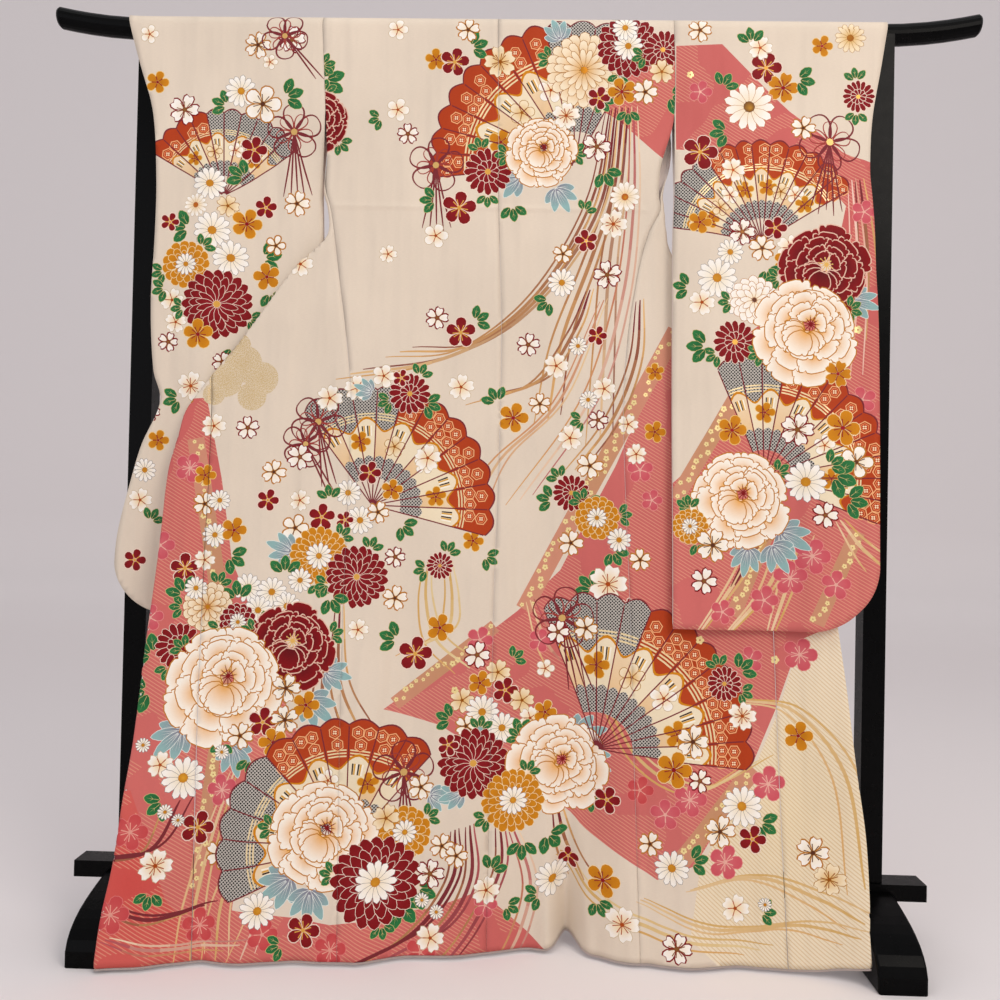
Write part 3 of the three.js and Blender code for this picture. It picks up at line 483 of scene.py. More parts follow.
def silk(name, plain=None):
    """Printed silk, or plain silk of one colour."""
    material, tree, shader = new_material(name)
    add = lambda *given, **settings: add_node(tree, *given, **settings)
    place = add("UVMap", {}, "UV", uv_map="cloth")
    cloudy = add("TexNoise", {"Vector": place, "Scale": CLOUDS, "Detail": 3}, "Fac")
    grain = add("TexNoise", {"Vector": place, "Scale": GRAINS, "Detail": 2}, "Fac")
    slubs = add("VectorMath", {0: place, 1: WEFT}, "Vector", operation="MULTIPLY")
    weft = add("TexNoise", {"Vector": slubs, "Scale": 1, "Detail": 1}, "Fac")
    tone = {"Value": cloudy, "From Min": 0.3, "From Max": 0.7, "To Min": 0.95, "To Max": 1.03}
    fine = {"Value": weft, "From Min": 0.25, "From Max": 0.75, "To Min": 0.965, "To Max": 1.02}
    shade = {0: add("MapRange", tone, "Result"), 1: add("MapRange", fine, "Result")}
    base, gloss = plain, {"Roughness": 0.5}

    def lines(across, along, share):
        """1 on fine lines, so many a metre across and along the cloth, and 0 between them."""
        count = add("VectorMath", {0: place, 1: (across, along, 0)}, "Value", operation="DOT_PRODUCT")
        return add("Math", {0: add("Math", {0: count}, operation="FRACT"), 1: share}, operation="LESS_THAN")

    if not plain:
        base = add("Attribute", {}, "Color", attribute_name="print")
        code = add("Attribute", {}, "Alpha", attribute_name="print")
        patches = add("TexNoise", {"Vector": place, "Scale": PATCHES, "Detail": 1}, "Fac")
        patches = add("Math", {0: patches, 1: 0.44}, operation="GREATER_THAN")
        specks = add("TexNoise", {"Vector": place, "Scale": SPECKS, "Detail": 1}, "Fac")
        mesh = {0: lines(170, 170, 0.3), 1: lines(170, -170, 0.3)}
        patterns = (
            (HATCH, add("Math", {0: lines(96, 160, 0.3), 1: patches}, operation="MULTIPLY"), 0.5, "e6ab8b"),
            (PALE_HATCH, lines(130, 140, 0.34), 0.5, "cfa765"),
            (MESH, add("Math", mesh, operation="MAXIMUM"), 0.85, "d8d2c8"),
            (DUST, add("Math", {0: specks, 1: 0.5}, operation="GREATER_THAN"), 0.75, "c9a96c"),
        )
        for weave, pattern, strength, colour in patterns:
            chosen = add("Math", {0: code, 1: weave, 2: 0.04}, operation="COMPARE")
            shown = add("Math", {0: pattern, 1: chosen}, operation="MULTIPLY")
            share = add("Math", {0: shown, 1: strength}, operation="MULTIPLY")
            base = add("Mix", {0: share, 6: base, 7: colour}, 2, data_type="RGBA")
        gold = add("Math", {0: code, 1: GOLD, 2: 0.04}, operation="COMPARE")
        gold = add("Math", {0: gold, 1: shown}, operation="MAXIMUM")
        less = add("Math", {0: gold, 1: 0.2}, operation="MULTIPLY")
        gloss = {"Metallic": add("Math", {0: gold, 1: 0.35}, operation="MULTIPLY"),
                 "Roughness": add("Math", {0: 0.58, 1: less}, operation="SUBTRACT")}
    shade = {0: 1.0, 6: base, 7: add("Math", shade, operation="MULTIPLY")}
    hung = add("VectorMath", {0: place, 1: RIPPLES}, "Vector", operation="MULTIPLY")
    ripples = add("TexNoise", {"Vector": hung, "Scale": 1, "Detail": 2}, "Fac")
    soft = add("Bump", {"Height": ripples, "Strength": 0.75, "Distance": 0.02}, "Normal")
    rough = add("Math", {0: grain, 1: weft}, operation="ADD")
    set_inputs(tree, shader, {
        **gloss, "Base Color": add("Mix", shade, 2, data_type="RGBA", blend_type="MULTIPLY"),
        "Normal": add("Bump", {"Height": rough, "Strength": 0.22, "Distance": 0.0005, "Normal": soft},
                      "Normal"),
        "Sheen Weight": 0.03, "Sheen Roughness": 0.4, "Specular IOR Level": 0.16,
    })
    return material


PRINTED_SILK = silk("printed_silk")
LINING_SILK = silk("lining_silk", "ecdcd2")

# What is printed, each motif drawn flat round its own place.
WHITE = "fbf6ee"
MAROON = "7f0a10"
OCHRE = "cf8410"
VERMILION = "be4c1e"
LEAF = "1b5a30"
LEAF_TIP = "2c7a41"
AQUA = "8fb4b2"
CORD = "7a2a30"
GILT = "d8b06a"
INK = "2b2726"
HEXAGON = 11.6
# Fill, tint at the foot, rim and heart of each kind of blossom.
BLOSSOMS = {
    "maroon": (MAROON, "8e1622", "f2d6c4", "e0a84c"),
    "white": (WHITE, "f3e3c4", "8d8683", "c07c18"),
    "pale": (WHITE, "f0cf94", "cdb795", "ad4a14"),
    "maroon_lined": (WHITE, "f4e4cc", MAROON, "8b5a2c"),
    "ochre_lined": (WHITE, "f5e2c0", "b9792c", "5c3320"),
    "ochre": ("cf8410", "b9700a", "f0d8a4", "8e1622"),
    "ochre_plain": ("cf8410", "b9700a", "ecc878", "8e1622"),
    "gilt": ("f5e3c2", "e0b468", "b07c30", "9a5614"),
    "cream": ("f5e4c6", "dba455", "a86c22", "c07c18"),
    "fringed": (MAROON, "8e1622", "f2dccb", "c98a2c"),
    "cream_peony": ("fcf4e6", "eaa544", "c07c22", "7f0a10"),
    "maroon_peony": ("84080f", "5a0710", "e6bca6", "e3b25c"),
    "tone": ("cc5560", "d26a70", "df8a86", "eab0a0"),
    "tone_deep": ("c6484a", "cf5a58", "d87470", "e6a090"),
}


def lay(points, place, angle=0.0):
    """Points turned by an angle in degrees and moved to a place."""
    c, s = math.cos(math.radians(angle)), math.sin(math.radians(angle))
    p = np.asarray(points, float).reshape(-1, 2)
    return np.stack([p[:, 0] * c - p[:, 1] * s, p[:, 0] * s + p[:, 1] * c], 1) + np.asarray(place, float)


def petal(start, tip, half, form="round", points=12):
    """A petal along x, from its start to its tip."""
    a = np.linspace(0, 2 * math.pi, points, endpoint=False)
    x = (start + tip) / 2 + (tip - start) / 2 * np.cos(a)
    y = half * np.sin(a) * (1 + 0.35 * np.cos(a))
    near = np.abs((a + math.pi) % (2 * math.pi) - math.pi)
    if form == "notched":
        x = x - (tip - start) * 0.2 * np.exp(-((near / 0.3) ** 2))
    if form == "pointed":
        y = half * np.sin(a) * np.abs(np.sin(a)) ** 0.4
    return np.stack([x, y], 1)


def ruffled(start, tip, half):
    """A peony petal along x with five lobes at its tip."""
    side = np.array([0.0, 0.22, 0.42, 0.54, 0.66, 0.9, 1.1, 1.24, 1.38, 1.65, 2.0, 2.6])
    a = np.concatenate([side, -side[:0:-1]])
    lobes = 1 - sum(depth * np.exp(-(((np.abs(a) - at) / width) ** 2))
                    for depth, at, width in ((0.12, 0.54, 0.11), (0.13, 1.24, 0.13)))
    x = (tip - start) * (0.5 + 0.5 * np.sign(np.cos(a)) * np.abs(np.cos(a)) ** 0.8) * lobes
    y = half * np.sign(np.sin(a)) * np.abs(np.sin(a)) ** 0.85 * (1 + 0.3 * np.cos(a)) * lobes
    return np.stack([start + x, y], 1)


def disc(radius, points=8):
    """A round spot."""
    a = np.linspace(0, 2 * math.pi, points, endpoint=False)
    return np.stack([radius * np.cos(a), radius * np.sin(a)], 1)


def petal_ring(cloth, place, count, start, tip, half, form, style, edge, angle=0.0, uneven=0.0, points=12,
               heel=0.0, blend=0.8):
    """Petals round a place: each has a rim, a fill, and a tint at its foot."""
    fill, tint, rim, _ = BLOSSOMS[style]
    shape = ruffled if form == "ruffled" else lambda *size: petal(*size, form, points)
    for k in range(count):
        turn = angle + 360 * k / count + random.uniform(-uneven, uneven)
        far = tip * (1 + random.uniform(-uneven, uneven) / 90)
        foot = lay([(start + (far - start) * heel, 0)], place, turn)[0]
        cloth.add(lay(shape(start, far, half), place, turn), rim)
        inner = lay(shape(start + edge, far - edge, half - edge), place, turn)
        cloth.add(inner, tint, fill, foot, (far - start) * blend)


def stroke(cloth, knots, width, colour, end=None, steps=8, weave=PLAIN):
    """A brushed line through a few knots, thin at both ends."""
    p = np.asarray(knots, float)
    padded = np.vstack([2 * p[0] - p[1], p, 2 * p[-1] - p[-2]])
    line = []
    for a, b, c, d in zip(padded, padded[1:], padded[2:], padded[3:]):
        for t in np.arange(steps) / steps:
            bend = (2 * a - 5 * b + 4 * c - d) * t * t + (3 * b - a - 3 * c + d) * t**3
            line.append(0.5 * (2 * b + (c - a) * t + bend))
    line = np.array(line + [p[-1]])
    along = np.gradient(line, axis=0)
    side = np.stack([-along[:, 1], along[:, 0]], 1) / (np.linalg.norm(along, axis=1)[:, None] + 1e-9)
    t = np.linspace(0, 1, len(line))
    half = width / 2 * (0.35 + 0.65 * np.sin(math.pi * t) ** 0.6)[:, None]
    left, right = line + side * half, line - side * half
    first, last = np.array(linear(colour)), np.array(linear(end or colour))
    for k in range(0, len(line) - 1, 4):
        m = min(k + 4, len(line) - 1)
        piece = np.vstack([left[k : m + 1], right[k : m + 1][::-1]])
        cloth.add(piece, tuple(lerp(first, last, t[k])), weave=weave)


def brush(cloth, table):
    """Brushed lines, each with two thinner ones that drift beside it."""
    for colour, end, width, knots in table:
        knots = np.array(knots, float)
        drift = np.linspace(0.8, 2.8, len(knots))[:, None]
        lines = ((8, 1.5, end, colour), (-9, 1.4, colour, "d9a868"), (0, 2.3, colour, end))
        for aside, share, first, last in lines:
            stroke(cloth, knots + drift * (aside, 0.4 * aside), width * share, first, last)


def plum(cloth, place, radius, style, angle=0.0, form="round"):
    """A five-petalled blossom of about 45 mm."""
    heart = BLOSSOMS[style][3]
    edge = 2.4 if style.endswith("lined") else 1.5 if style == "maroon" else 1.1
    petal_ring(cloth, place, 5, radius * 0.06, radius, radius * 0.36, form, style, edge, angle, 3)
    for k in range(5):
        for side in (-14, 14) if radius > 26 else (0,):
            thread = [(0, -0.5), (radius * 0.5, -0.9), (radius * 0.5, 0.9), (0, 0.5)]
            cloth.add(lay(thread, place, angle + 36 + 72 * k + side), heart)
    cloth.add(lay(disc(radius * 0.12, 7), place), heart, weave=GOLD)


def cherry(cloth, place, radius, style, angle=0.0):
    """A plum blossom with notched petals."""
    plum(cloth, place, radius, style, angle, "notched")


def daisy(cloth, place, radius, style="white", angle=0.0):
    """A single ring of long petals round a gold middle."""
    petal_ring(cloth, place, 13, radius * 0.14, radius, radius * 0.18, "round", style, 0.8, angle, 3, 8)
    cloth.add(lay(disc(radius * 0.23, 9), place), "dfa02c", BLOSSOMS[style][3], place, radius * 0.24)


def kiku(cloth, place, radius, style, angle=0.0):
    """A full chrysanthemum: rings of long petals, the inner ones on top."""
    heart = BLOSSOMS[style][3]
    if style == "maroon" and radius < 45:
        for count, start, tip, half, turn, points in (
                (16, 0.12, 1.0, 0.17, 0, 10), (10, 0.04, 0.5, 0.13, 9, 8)):
            petal_ring(cloth, place, count, radius * start, radius * tip, radius * half, "round", style, 1.0,
                       angle + turn, 2, points)
        cloth.add(lay(disc(radius * 0.13, 8), place), heart, weave=GOLD)
        return
    count = 20 if radius > 48 else 15
    form, wide = ("round", 0.95) if style in ("ochre", "cream") else ("pointed", 1.12)
    for step, (start, tip) in enumerate(((0.5, 1.0), (0.28, 0.8), (0.08, 0.58))):
        half = radius * tip * math.pi / count * wide
        petal_ring(cloth, place, count - 3 * step, radius * start, radius * tip, half, form, style, 0.95,
                   angle + 9 * step, 2.5, 10)
    if style in ("ochre", "fringed"):
        daisy(cloth, place, radius * 0.46, "white", angle)
    else:
        cloth.add(lay(disc(radius * 0.1, 8), place), heart, weave=GOLD)


def peony(cloth, place, radius, style, angle=0.0):
    """A large peony seen from a little above: ruffled rings that climb towards its heart."""
    ahead = lambda share: lay([(share * radius, 0)], place, angle)[0]

    def petals(at, count, start, tip, half, turn, **finish):
        petal_ring(cloth, at, count, radius * start, radius * tip, radius * half, "ruffled", style, 1.9,
                   angle + turn, **finish)

    rows = ((8, 0.4, 1.0, 0.38), (7, 0.3, 0.83, 0.34), (7, 0.2, 0.66, 0.28), (5, 0.08, 0.47, 0.24))
    for step, row in enumerate(rows):
        petals(ahead(0.05 * step), *row, 20 * step, uneven=7, heel=0.4, blend=0.55)
    for turn, size in ((0, 0.62), (52, 0.66), (-52, 0.66)):
        petals(ahead(0.17), 1, 0.06, 0.46 * size, 0.3 * size, turn, heel=0.1)
    for k in range(11):
        turn, reach = angle + 33 * k, radius * random.uniform(0.12, 0.19)
        thread = [(0, -1.0), (reach, -0.6), (reach, 0.6), (0, 1.0)]
        cloth.add(lay(thread, ahead(0.17), turn), BLOSSOMS[style][3])
        cloth.add(lay(disc(1.5, 5), lay([(reach, 0)], ahead(0.17), turn)[0]), GILT, weave=GOLD)
    for turn, size in ((125, 1.0), (235, 1.0), (152, 1.12), (208, 1.12), (180, 1.2)):
        petals(ahead(0.06), 1, 0.03, 0.46 * size, 0.21 * size, turn, heel=0.05, blend=0.85)


def leaf(cloth, place, length, angle):
    """A leaf with a pale rim, a midrib and a vein to each side."""
    rim = "c9b878"
    half = length * 0.33
    veins = [[(0.4 * length, 0), (0.62 * length, side * length * 0.15), (0.4 * length + 1.3, 0)]
             for side in (-1, 1)]
    cloth.add(lay(petal(0, length, half, "pointed", 10), place, angle), rim)
    cloth.add(lay(petal(0.8, length - 0.9, half - 0.8, "pointed", 10), place, angle),
              LEAF, LEAF_TIP, place, length)
    for line in [[(0.1 * length, -0.5), (0.85 * length, 0), (0.1 * length, 0.5)]] + veins:
        cloth.add(lay(line, place, angle), rim)


def spray(cloth, place, length, angle):
    """Three leaves from one place."""
    length *= 1.4
    for turn in (-48, 0, 48):
        leaf(cloth, lay([(length * 0.25, 0)], place, angle + turn)[0], length, angle + turn)


def broad_leaf(cloth, place, length, angle):
    """A pale peony leaf with five pointed lobes, violet-grey at its foot."""
    rim, foot, half = "dfe6e0", "857a8c", length * 0.17
    for turn, size in ((-62, 0.66), (62, 0.66), (-32, 0.86), (32, 0.86), (0, 1.0)):
        way, reach = angle + turn, length * size
        cloth.add(lay(petal(0, reach, half, "pointed"), place, way), rim)
        cloth.add(lay(petal(1, reach - 1.2, half - 1, "pointed"), place, way),
                  foot, AQUA, place, length * 0.7)
        for side in (-9, 0, 9):
            vein = [(length * 0.12, -0.5), (reach * 0.7, 0), (length * 0.12, 0.5)]
            cloth.add(lay(vein, place, way + side), rim)


def fan(cloth, place, radius, first, last, panels, dark):
    """An open folding fan.

    Its first 'dark' panels, or its last if negative, end in a woven mesh, the rest in hexagons.
    """
    turn = (last - first) / panels
    at = np.asarray(place, float)
    woven = range(dark) if dark >= 0 else range(panels + dark, panels)

    def arc(r, a, b, count, bulge=0.0):
        t = np.linspace(0, 1, count)
        r, way = radius * r * (1 + bulge * np.sin(math.pi * t)), np.radians(lerp(a, b, t))
        return np.stack([r * np.cos(way), r * np.sin(way)], 1)

    def strip(low, high, a, b, count, bulge=0.0, low_count=3):
        """The part between two radii and two angles; its outer edge may bulge."""
        return at + np.concatenate([arc(low, b, a, low_count), arc(high, a, b, count, bulge)])

    for k in range(panels):
        a, b = first + turn * k, first + turn * (k + 1)
        bulge = -0.09 if k % 2 else 0.07
        cloth.add(strip(0.3, 1 + 2.2 / radius, a, b, 9, 0.05), CORD)
        if k in woven:
            cloth.add(strip(0.3, 1 - 0.6 / radius, a, b, 9, 0.05), INK, weave=MESH)
        else:
            cloth.add(strip(0.3, 1 - 0.6 / radius, a, b, 9, 0.05), VERMILION, "b03c14", at, radius)
        for r in (0.74, 0.765, 0.79):
            cloth.add(strip(r, r + 0.012, a + turn * 0.08, b - turn * 0.08, 3), "f0d9a8", weave=GOLD)
        cloth.add(strip(0.3, 0.72, a, b, 7, bulge), OCHRE)
        cloth.add(strip(0.3, 0.7, a, b, 7, bulge), "ecd9b4" if k % 3 else "e2a95c", "f2e4c8", at, radius)
        cloth.add(strip(0.24, 0.4, a, b, 5, 0.08), INK, weave=MESH)
        for stripe in range(0 if k % 2 else 6):
            low = a + turn * (0.2 + 0.1 * stripe)
            colour = ("3a2a20", "d9a13c", "fbf3e0")[stripe % 3]
            cloth.add(strip(0.6, 0.69, low, low + turn * 0.08, 2, low_count=2), colour)
    size, r = HEXAGON, radius * 0.84
    while r < radius * 0.97:
        for angle in np.arange(min(first, last) + 2, max(first, last) - 1, math.degrees(size * 1.74 / r)):
            part = (angle - first) / turn
            if int(part) in woven or (part % 1) < 0.16 or (part % 1) > 0.84:
                continue
            spot = lay([(r, 0)], at, angle)[0]
            for share, colour in ((1, "f0b27c"), (0.84, "a93612"), (0.66, "e58a55"), (0.54, "b8421d")):
                cloth.add(lay(disc(size * share, 6), spot, angle), colour)
            for q in range(4):
                cloth.add(lay(disc(1.8, 4), lay([(2.5, 0)], spot, 45 + 90 * q)[0]), "f8e3bb")
        r += size * 1.8
    ornaments = ((0.18, 0.56, "ochre_plain"), (0.4, 0.54, "gilt"), (0.62, 0.57, "pale"),
                 (0.84, 0.55, "ochre_plain"))
    for share, r, style in ornaments:
        spot = lay([(radius * r, 0)], at, lerp(first, last, share))[0]
        plum(cloth, spot, radius * 0.095, style, 20 * share)
    for k in range(panels + 1):
        rib = [(4, -1.1), (radius * 0.99, -1.1), (radius * 0.99, 1.1), (4, 1.1)]
        cloth.add(lay(rib, at, first + turn * k), CORD)


def cord_bow(cloth, place, size, angle=0.0, threads=4):
    """A knotted cord: five loops and a few hanging ends."""
    size *= 1.25
    for k in range(5):
        loop = lay(petal(size * 0.08, size, size * 0.36, "round", 14), place, angle + 72 * k)
        stroke(cloth, np.vstack([loop, loop[:2]]), 3.8, CORD, steps=2)
        inner = lay(petal(size * 0.1, size * 0.7, size * 0.22, "round", 10), place, angle + 36 + 72 * k)
        stroke(cloth, np.vstack([inner, inner[:2]]), 2.4, "9c3a34", steps=2)
    for k in range(threads):
        away = (k - (threads - 1) / 2) * size * 0.26
        knots = [(0, 0), (away * 0.5, -size * 1.2), (away, -size * 2.3 - 9 * (k % 2))]
        stroke(cloth, lay(knots, place, angle * 0.2), 3.2, CORD)
    cloth.add(lay(disc(size * 0.12, 8), place), GILT, weave=GOLD)


def gilt_blossom(cloth, place, size):
    """A tiny blossom in gold."""
    for k in range(5):
        cloth.add(lay(disc(size * 0.42, 6), lay([(size * 0.55, 0)], place, 72 * k + size * 9)[0]),
                  "f3dd9c", weave=GOLD)
    cloth.add(lay(disc(size * 0.16, 5), place), "a8703a")


def gilt_band(cloth, start, end, width):
    """A soft olive band with small gold blossoms, as along the edge of a colour field."""
    a, b = np.array(start, float), np.array(end, float)
    way = (b - a) / np.linalg.norm(b - a)
    side = np.array([-way[1], way[0]]) * width / 2
    cloth.add(np.array([a + side, b + side, b - side, a - side]), "c4906a", "cf8e74", tuple((a + b) / 2), 120)
    count = int(np.linalg.norm(b - a) / 11)
    for k in range(count):
        spot = a + (b - a) * (k + 0.5) / count + side * random.uniform(-0.7, 0.7)
        gilt_blossom(cloth, spot, random.uniform(3.6, 6.2))


def field(cloth, points, colour, rim, weave=PLAIN):
    """A field of ground colour with a smooth outline."""
    p = np.asarray(points, float)
    centre = p.mean(0)
    cloth.add(p, colour, rim, centre, float(np.linalg.norm(p - centre, axis=1).max()), weave=weave)


KINDS = {"plum": plum, "cherry": cherry, "daisy": daisy, "kiku": kiku, "peony": peony, "fan": fan,
         "spray": spray, "broad_leaf": broad_leaf, "cord_bow": cord_bow, "gilt_blossom": gilt_blossom}
# A bouquet for the sides that hang out of sight, round its own middle.
BOUQUET = """
broad_leaf 70 -60 55 -50; broad_leaf -80 -50 55 225; spray -120 20 24 170; spray 112 60 24 20
kiku 62 78 52 maroon; kiku -86 66 46 ochre; peony 0 0 88 cream_peony 70; peony 104 -14 58 maroon_peony 60
daisy -104 -2 30 white; daisy -20 104 30 white 12; cherry 20 -98 26 ochre_lined; plum 60 -92 26 ochre 20
plum -40 -102 26 maroon; cherry -84 -110 24 pale; spray 10 -130 20 -90; cherry 30 130 24 maroon_lined 10
plum -74 128 20 ochre_plain
"""
STRAY = [("cherry", "pale"), ("plum", "maroon"), ("cherry", "ochre_lined"), ("daisy", "white"),
         ("plum", "ochre"), ("cherry", "maroon_lined")]


def decorate(cloth, layout):
    """Prints a layout: each motif's kind, x and height, then its size, style and angle."""
    for motif in layout.replace("\n", ";").split(";"):
        words = motif.split()
        if not words or words[0] == "#":
            continue
        kind, x, z, *rest = (word if word[0].isalpha() else int(word) for word in words)
        if kind in ("kiku", "peony"):
            first = random.uniform(0, 360)
            for turn in (first, first + random.uniform(110, 250)):
                spray(cloth, lay([(rest[0] * 0.92, 0)], (x, z), turn)[0], 15, turn)
        KINDS[kind](cloth, (x, z), *rest)


def bouquet(cloth, place, turn=0.0, size=1.0):
    """The bouquet at a place, turned as a whole."""
    loose = Print()
    decorate(loose, BOUQUET)
    for points, inner, outer, centre, radius, weave in loose.shapes:
        centre = tuple(lay([np.array(centre) * size], place, turn)[0])
        cloth.shapes.append((lay(points * size, place, turn), inner, outer, centre, radius * size, weave))


def scatter(cloth, low, high, count, apart=58.0):
    """Single blossoms strewn over a stretch of cloth, none close to another."""
    spots = []
    for _ in range(count * 20):
        spot = np.array([random.uniform(low[0], high[0]), random.uniform(low[1], high[1])])
        if len(spots) < count and all(np.linalg.norm(spot - other) > apart for other in spots):
            spots.append(spot)
            kind, style = STRAY[len(spots) % len(STRAY)]
            KINDS[kind](cloth, spot, random.uniform(19, 27), style, random.uniform(0, 72))


# The print of the body: fields of colour, gilt bands, brushed lines, gold dust, then its motifs.
SHOULDER_BAND = [(121, 1578), (318, 1598), (322, 1362), (258, 1412), (191, 1470), (119, 1509)]
LOWER_BAND = [(324, 1145), (259, 1001), (198, 848), (103, 660), (30, 588), (-104, 483), (-199, 416),
    (-101, 389), (39, 307), (145, 219), (275, 144), (337, 171), (416, 290), (476, 430), (519, 550),
    (632, 605), (641, 1149)]
LEFT_PANEL = [(-633, 947), (-532, 953), (-498, 807), (-473, 667), (-412, 530), (-343, 371), (-398, 281),
    (-427, 185), (-434, 90), (-272, 66), (-109, 85), (-25, 112), (45, 47), (89, 7), (90, -53), (-696, -18),
    (-747, 424), (-700, 662)]
LEFT_CORNER = [(-696, -18), (-729, 263), (-614, 281), (-573, 186), (-544, 107), (-431, -27)]
PALE_CORNER = [(519, 550), (632, 605), (641, -14), (415, -24), (329, 53), (346, 167), (419, 284), (481, 427)]
BODY_LINES = [
    (CORD, "e0b070", 3, [(198, 1492), (186, 1343), (146, 1212), (98, 1071), (76, 927)]),
    (CORD, "e6c08a", 3, [(187, 1492), (165, 1325), (96, 1197), (-9, 1087), (-133, 1026), (-278, 1001)]),
    (CORD, "e9c79a", 2.6, [(209, 1492), (200, 1361), (181, 1216), (174, 1054), (169, 892)]),
    ("b4585c", "ecd0b0", 2.4, [(219, 1492), (222, 1324), (204, 1144), (150, 964), (29, 783)]),
    (CORD, "e0b070", 2.4, [(176, 1488), (147, 1324), (57, 1160), (-66, 1058), (-191, 1043)]),
    ("c98a6a", "e6c89a", 2.2, [(172, 1144), (97, 963), (-8, 853), (-58, 746)]),
    (CORD, "e0b070", 2.6, [(236, 1144), (230, 1036), (190, 928), (126, 838)]),
    (CORD, "e0b070", 2.6, [(147, 1162), (121, 1089), (60, 998), (-46, 960)]),
    (CORD, CORD, 3, [(-70, 214), (-73, 131), (-141, 41), (-252, -1)]),
    (CORD, "b4585c", 3, [(-45, 221), (-42, 130), (-91, 50), (-201, -4)]),
    (CORD, "b4585c", 2.6, [(6, 227), (8, 143), (-40, 48), (-89, -12)]),
    ("b4585c", "ecd0b0", 2.6, [(27, 217), (61, 122), (45, 39), (12, -21)]),
    ("e0c090", "d2a860", 2.6, [(416, 445), (509, 428), (587, 326), (611, 138)]),
    ("e0c090", "d2a860", 2.6, [(329, 132), (448, 152), (545, 120), (609, 81)]),
    ("e0c090", "d2a860", 2.4, [(247, 110), (381, 66), (513, 79), (603, 57)]),
    ("d2a860", "e6d0a0", 2.6, [(112, 165), (181, 100), (312, 52), (447, 36)]),
    ("e8c8a0", "d2a860", 2.4, [(-445, 313), (-475, 214), (-497, 102), (-499, 10)]),
    ("e8c8a0", "d2a860", 2.4, [(-411, 313), (-413, 217), (-452, 105), (-457, 11)]),
    ("efd0b8", "e0b8a0", 2, [(-337, 329), (-380, 216), (-386, 105), (-415, 14)]),
    ("d2a860", "e6d0a0", 2.4, [(-130, 674), (-132, 604), (-112, 535), (-52, 487)]),
    ("d2a860", "e6d0a0", 2.4, [(-95, 674), (-86, 605), (-95, 552), (-157, 516)]),
    ("e9c79a", "b4585c", 2.4, [(51, 606), (79, 537), (106, 501)]),
    (CORD, "e0b070", 2.6, [(-295, 532), (-305, 447), (-288, 364)]),
    (CORD, "e0b070", 2.4, [(-281, 601), (-275, 465), (-233, 374)]),
    (CORD, CORD, 2.6, [(-664, 172), (-573, 186), (-533, 263)]),
    (CORD, CORD, 2.6, [(-651, 104), (-563, 78), (-482, 94)]),
    ("b4585c", "ecd0b0", 2.2, [(-630, 51), (-545, 30), (-417, 37)]),
    (CORD, "e0b070", 2.6, [(103, 258), (122, 179), (154, 125)]),
    ("d2a860", "e6d0a0", 2.4, [(176, 454), (245, 339), (346, 294), (450, 346)]),
]
DUST_CLOUD = [(-470, 1016, 34), (-436, 990, 30), (-500, 985, 30), (-452, 958, 26), (-478, 1050, 20),
              (-520, 960, 20)]
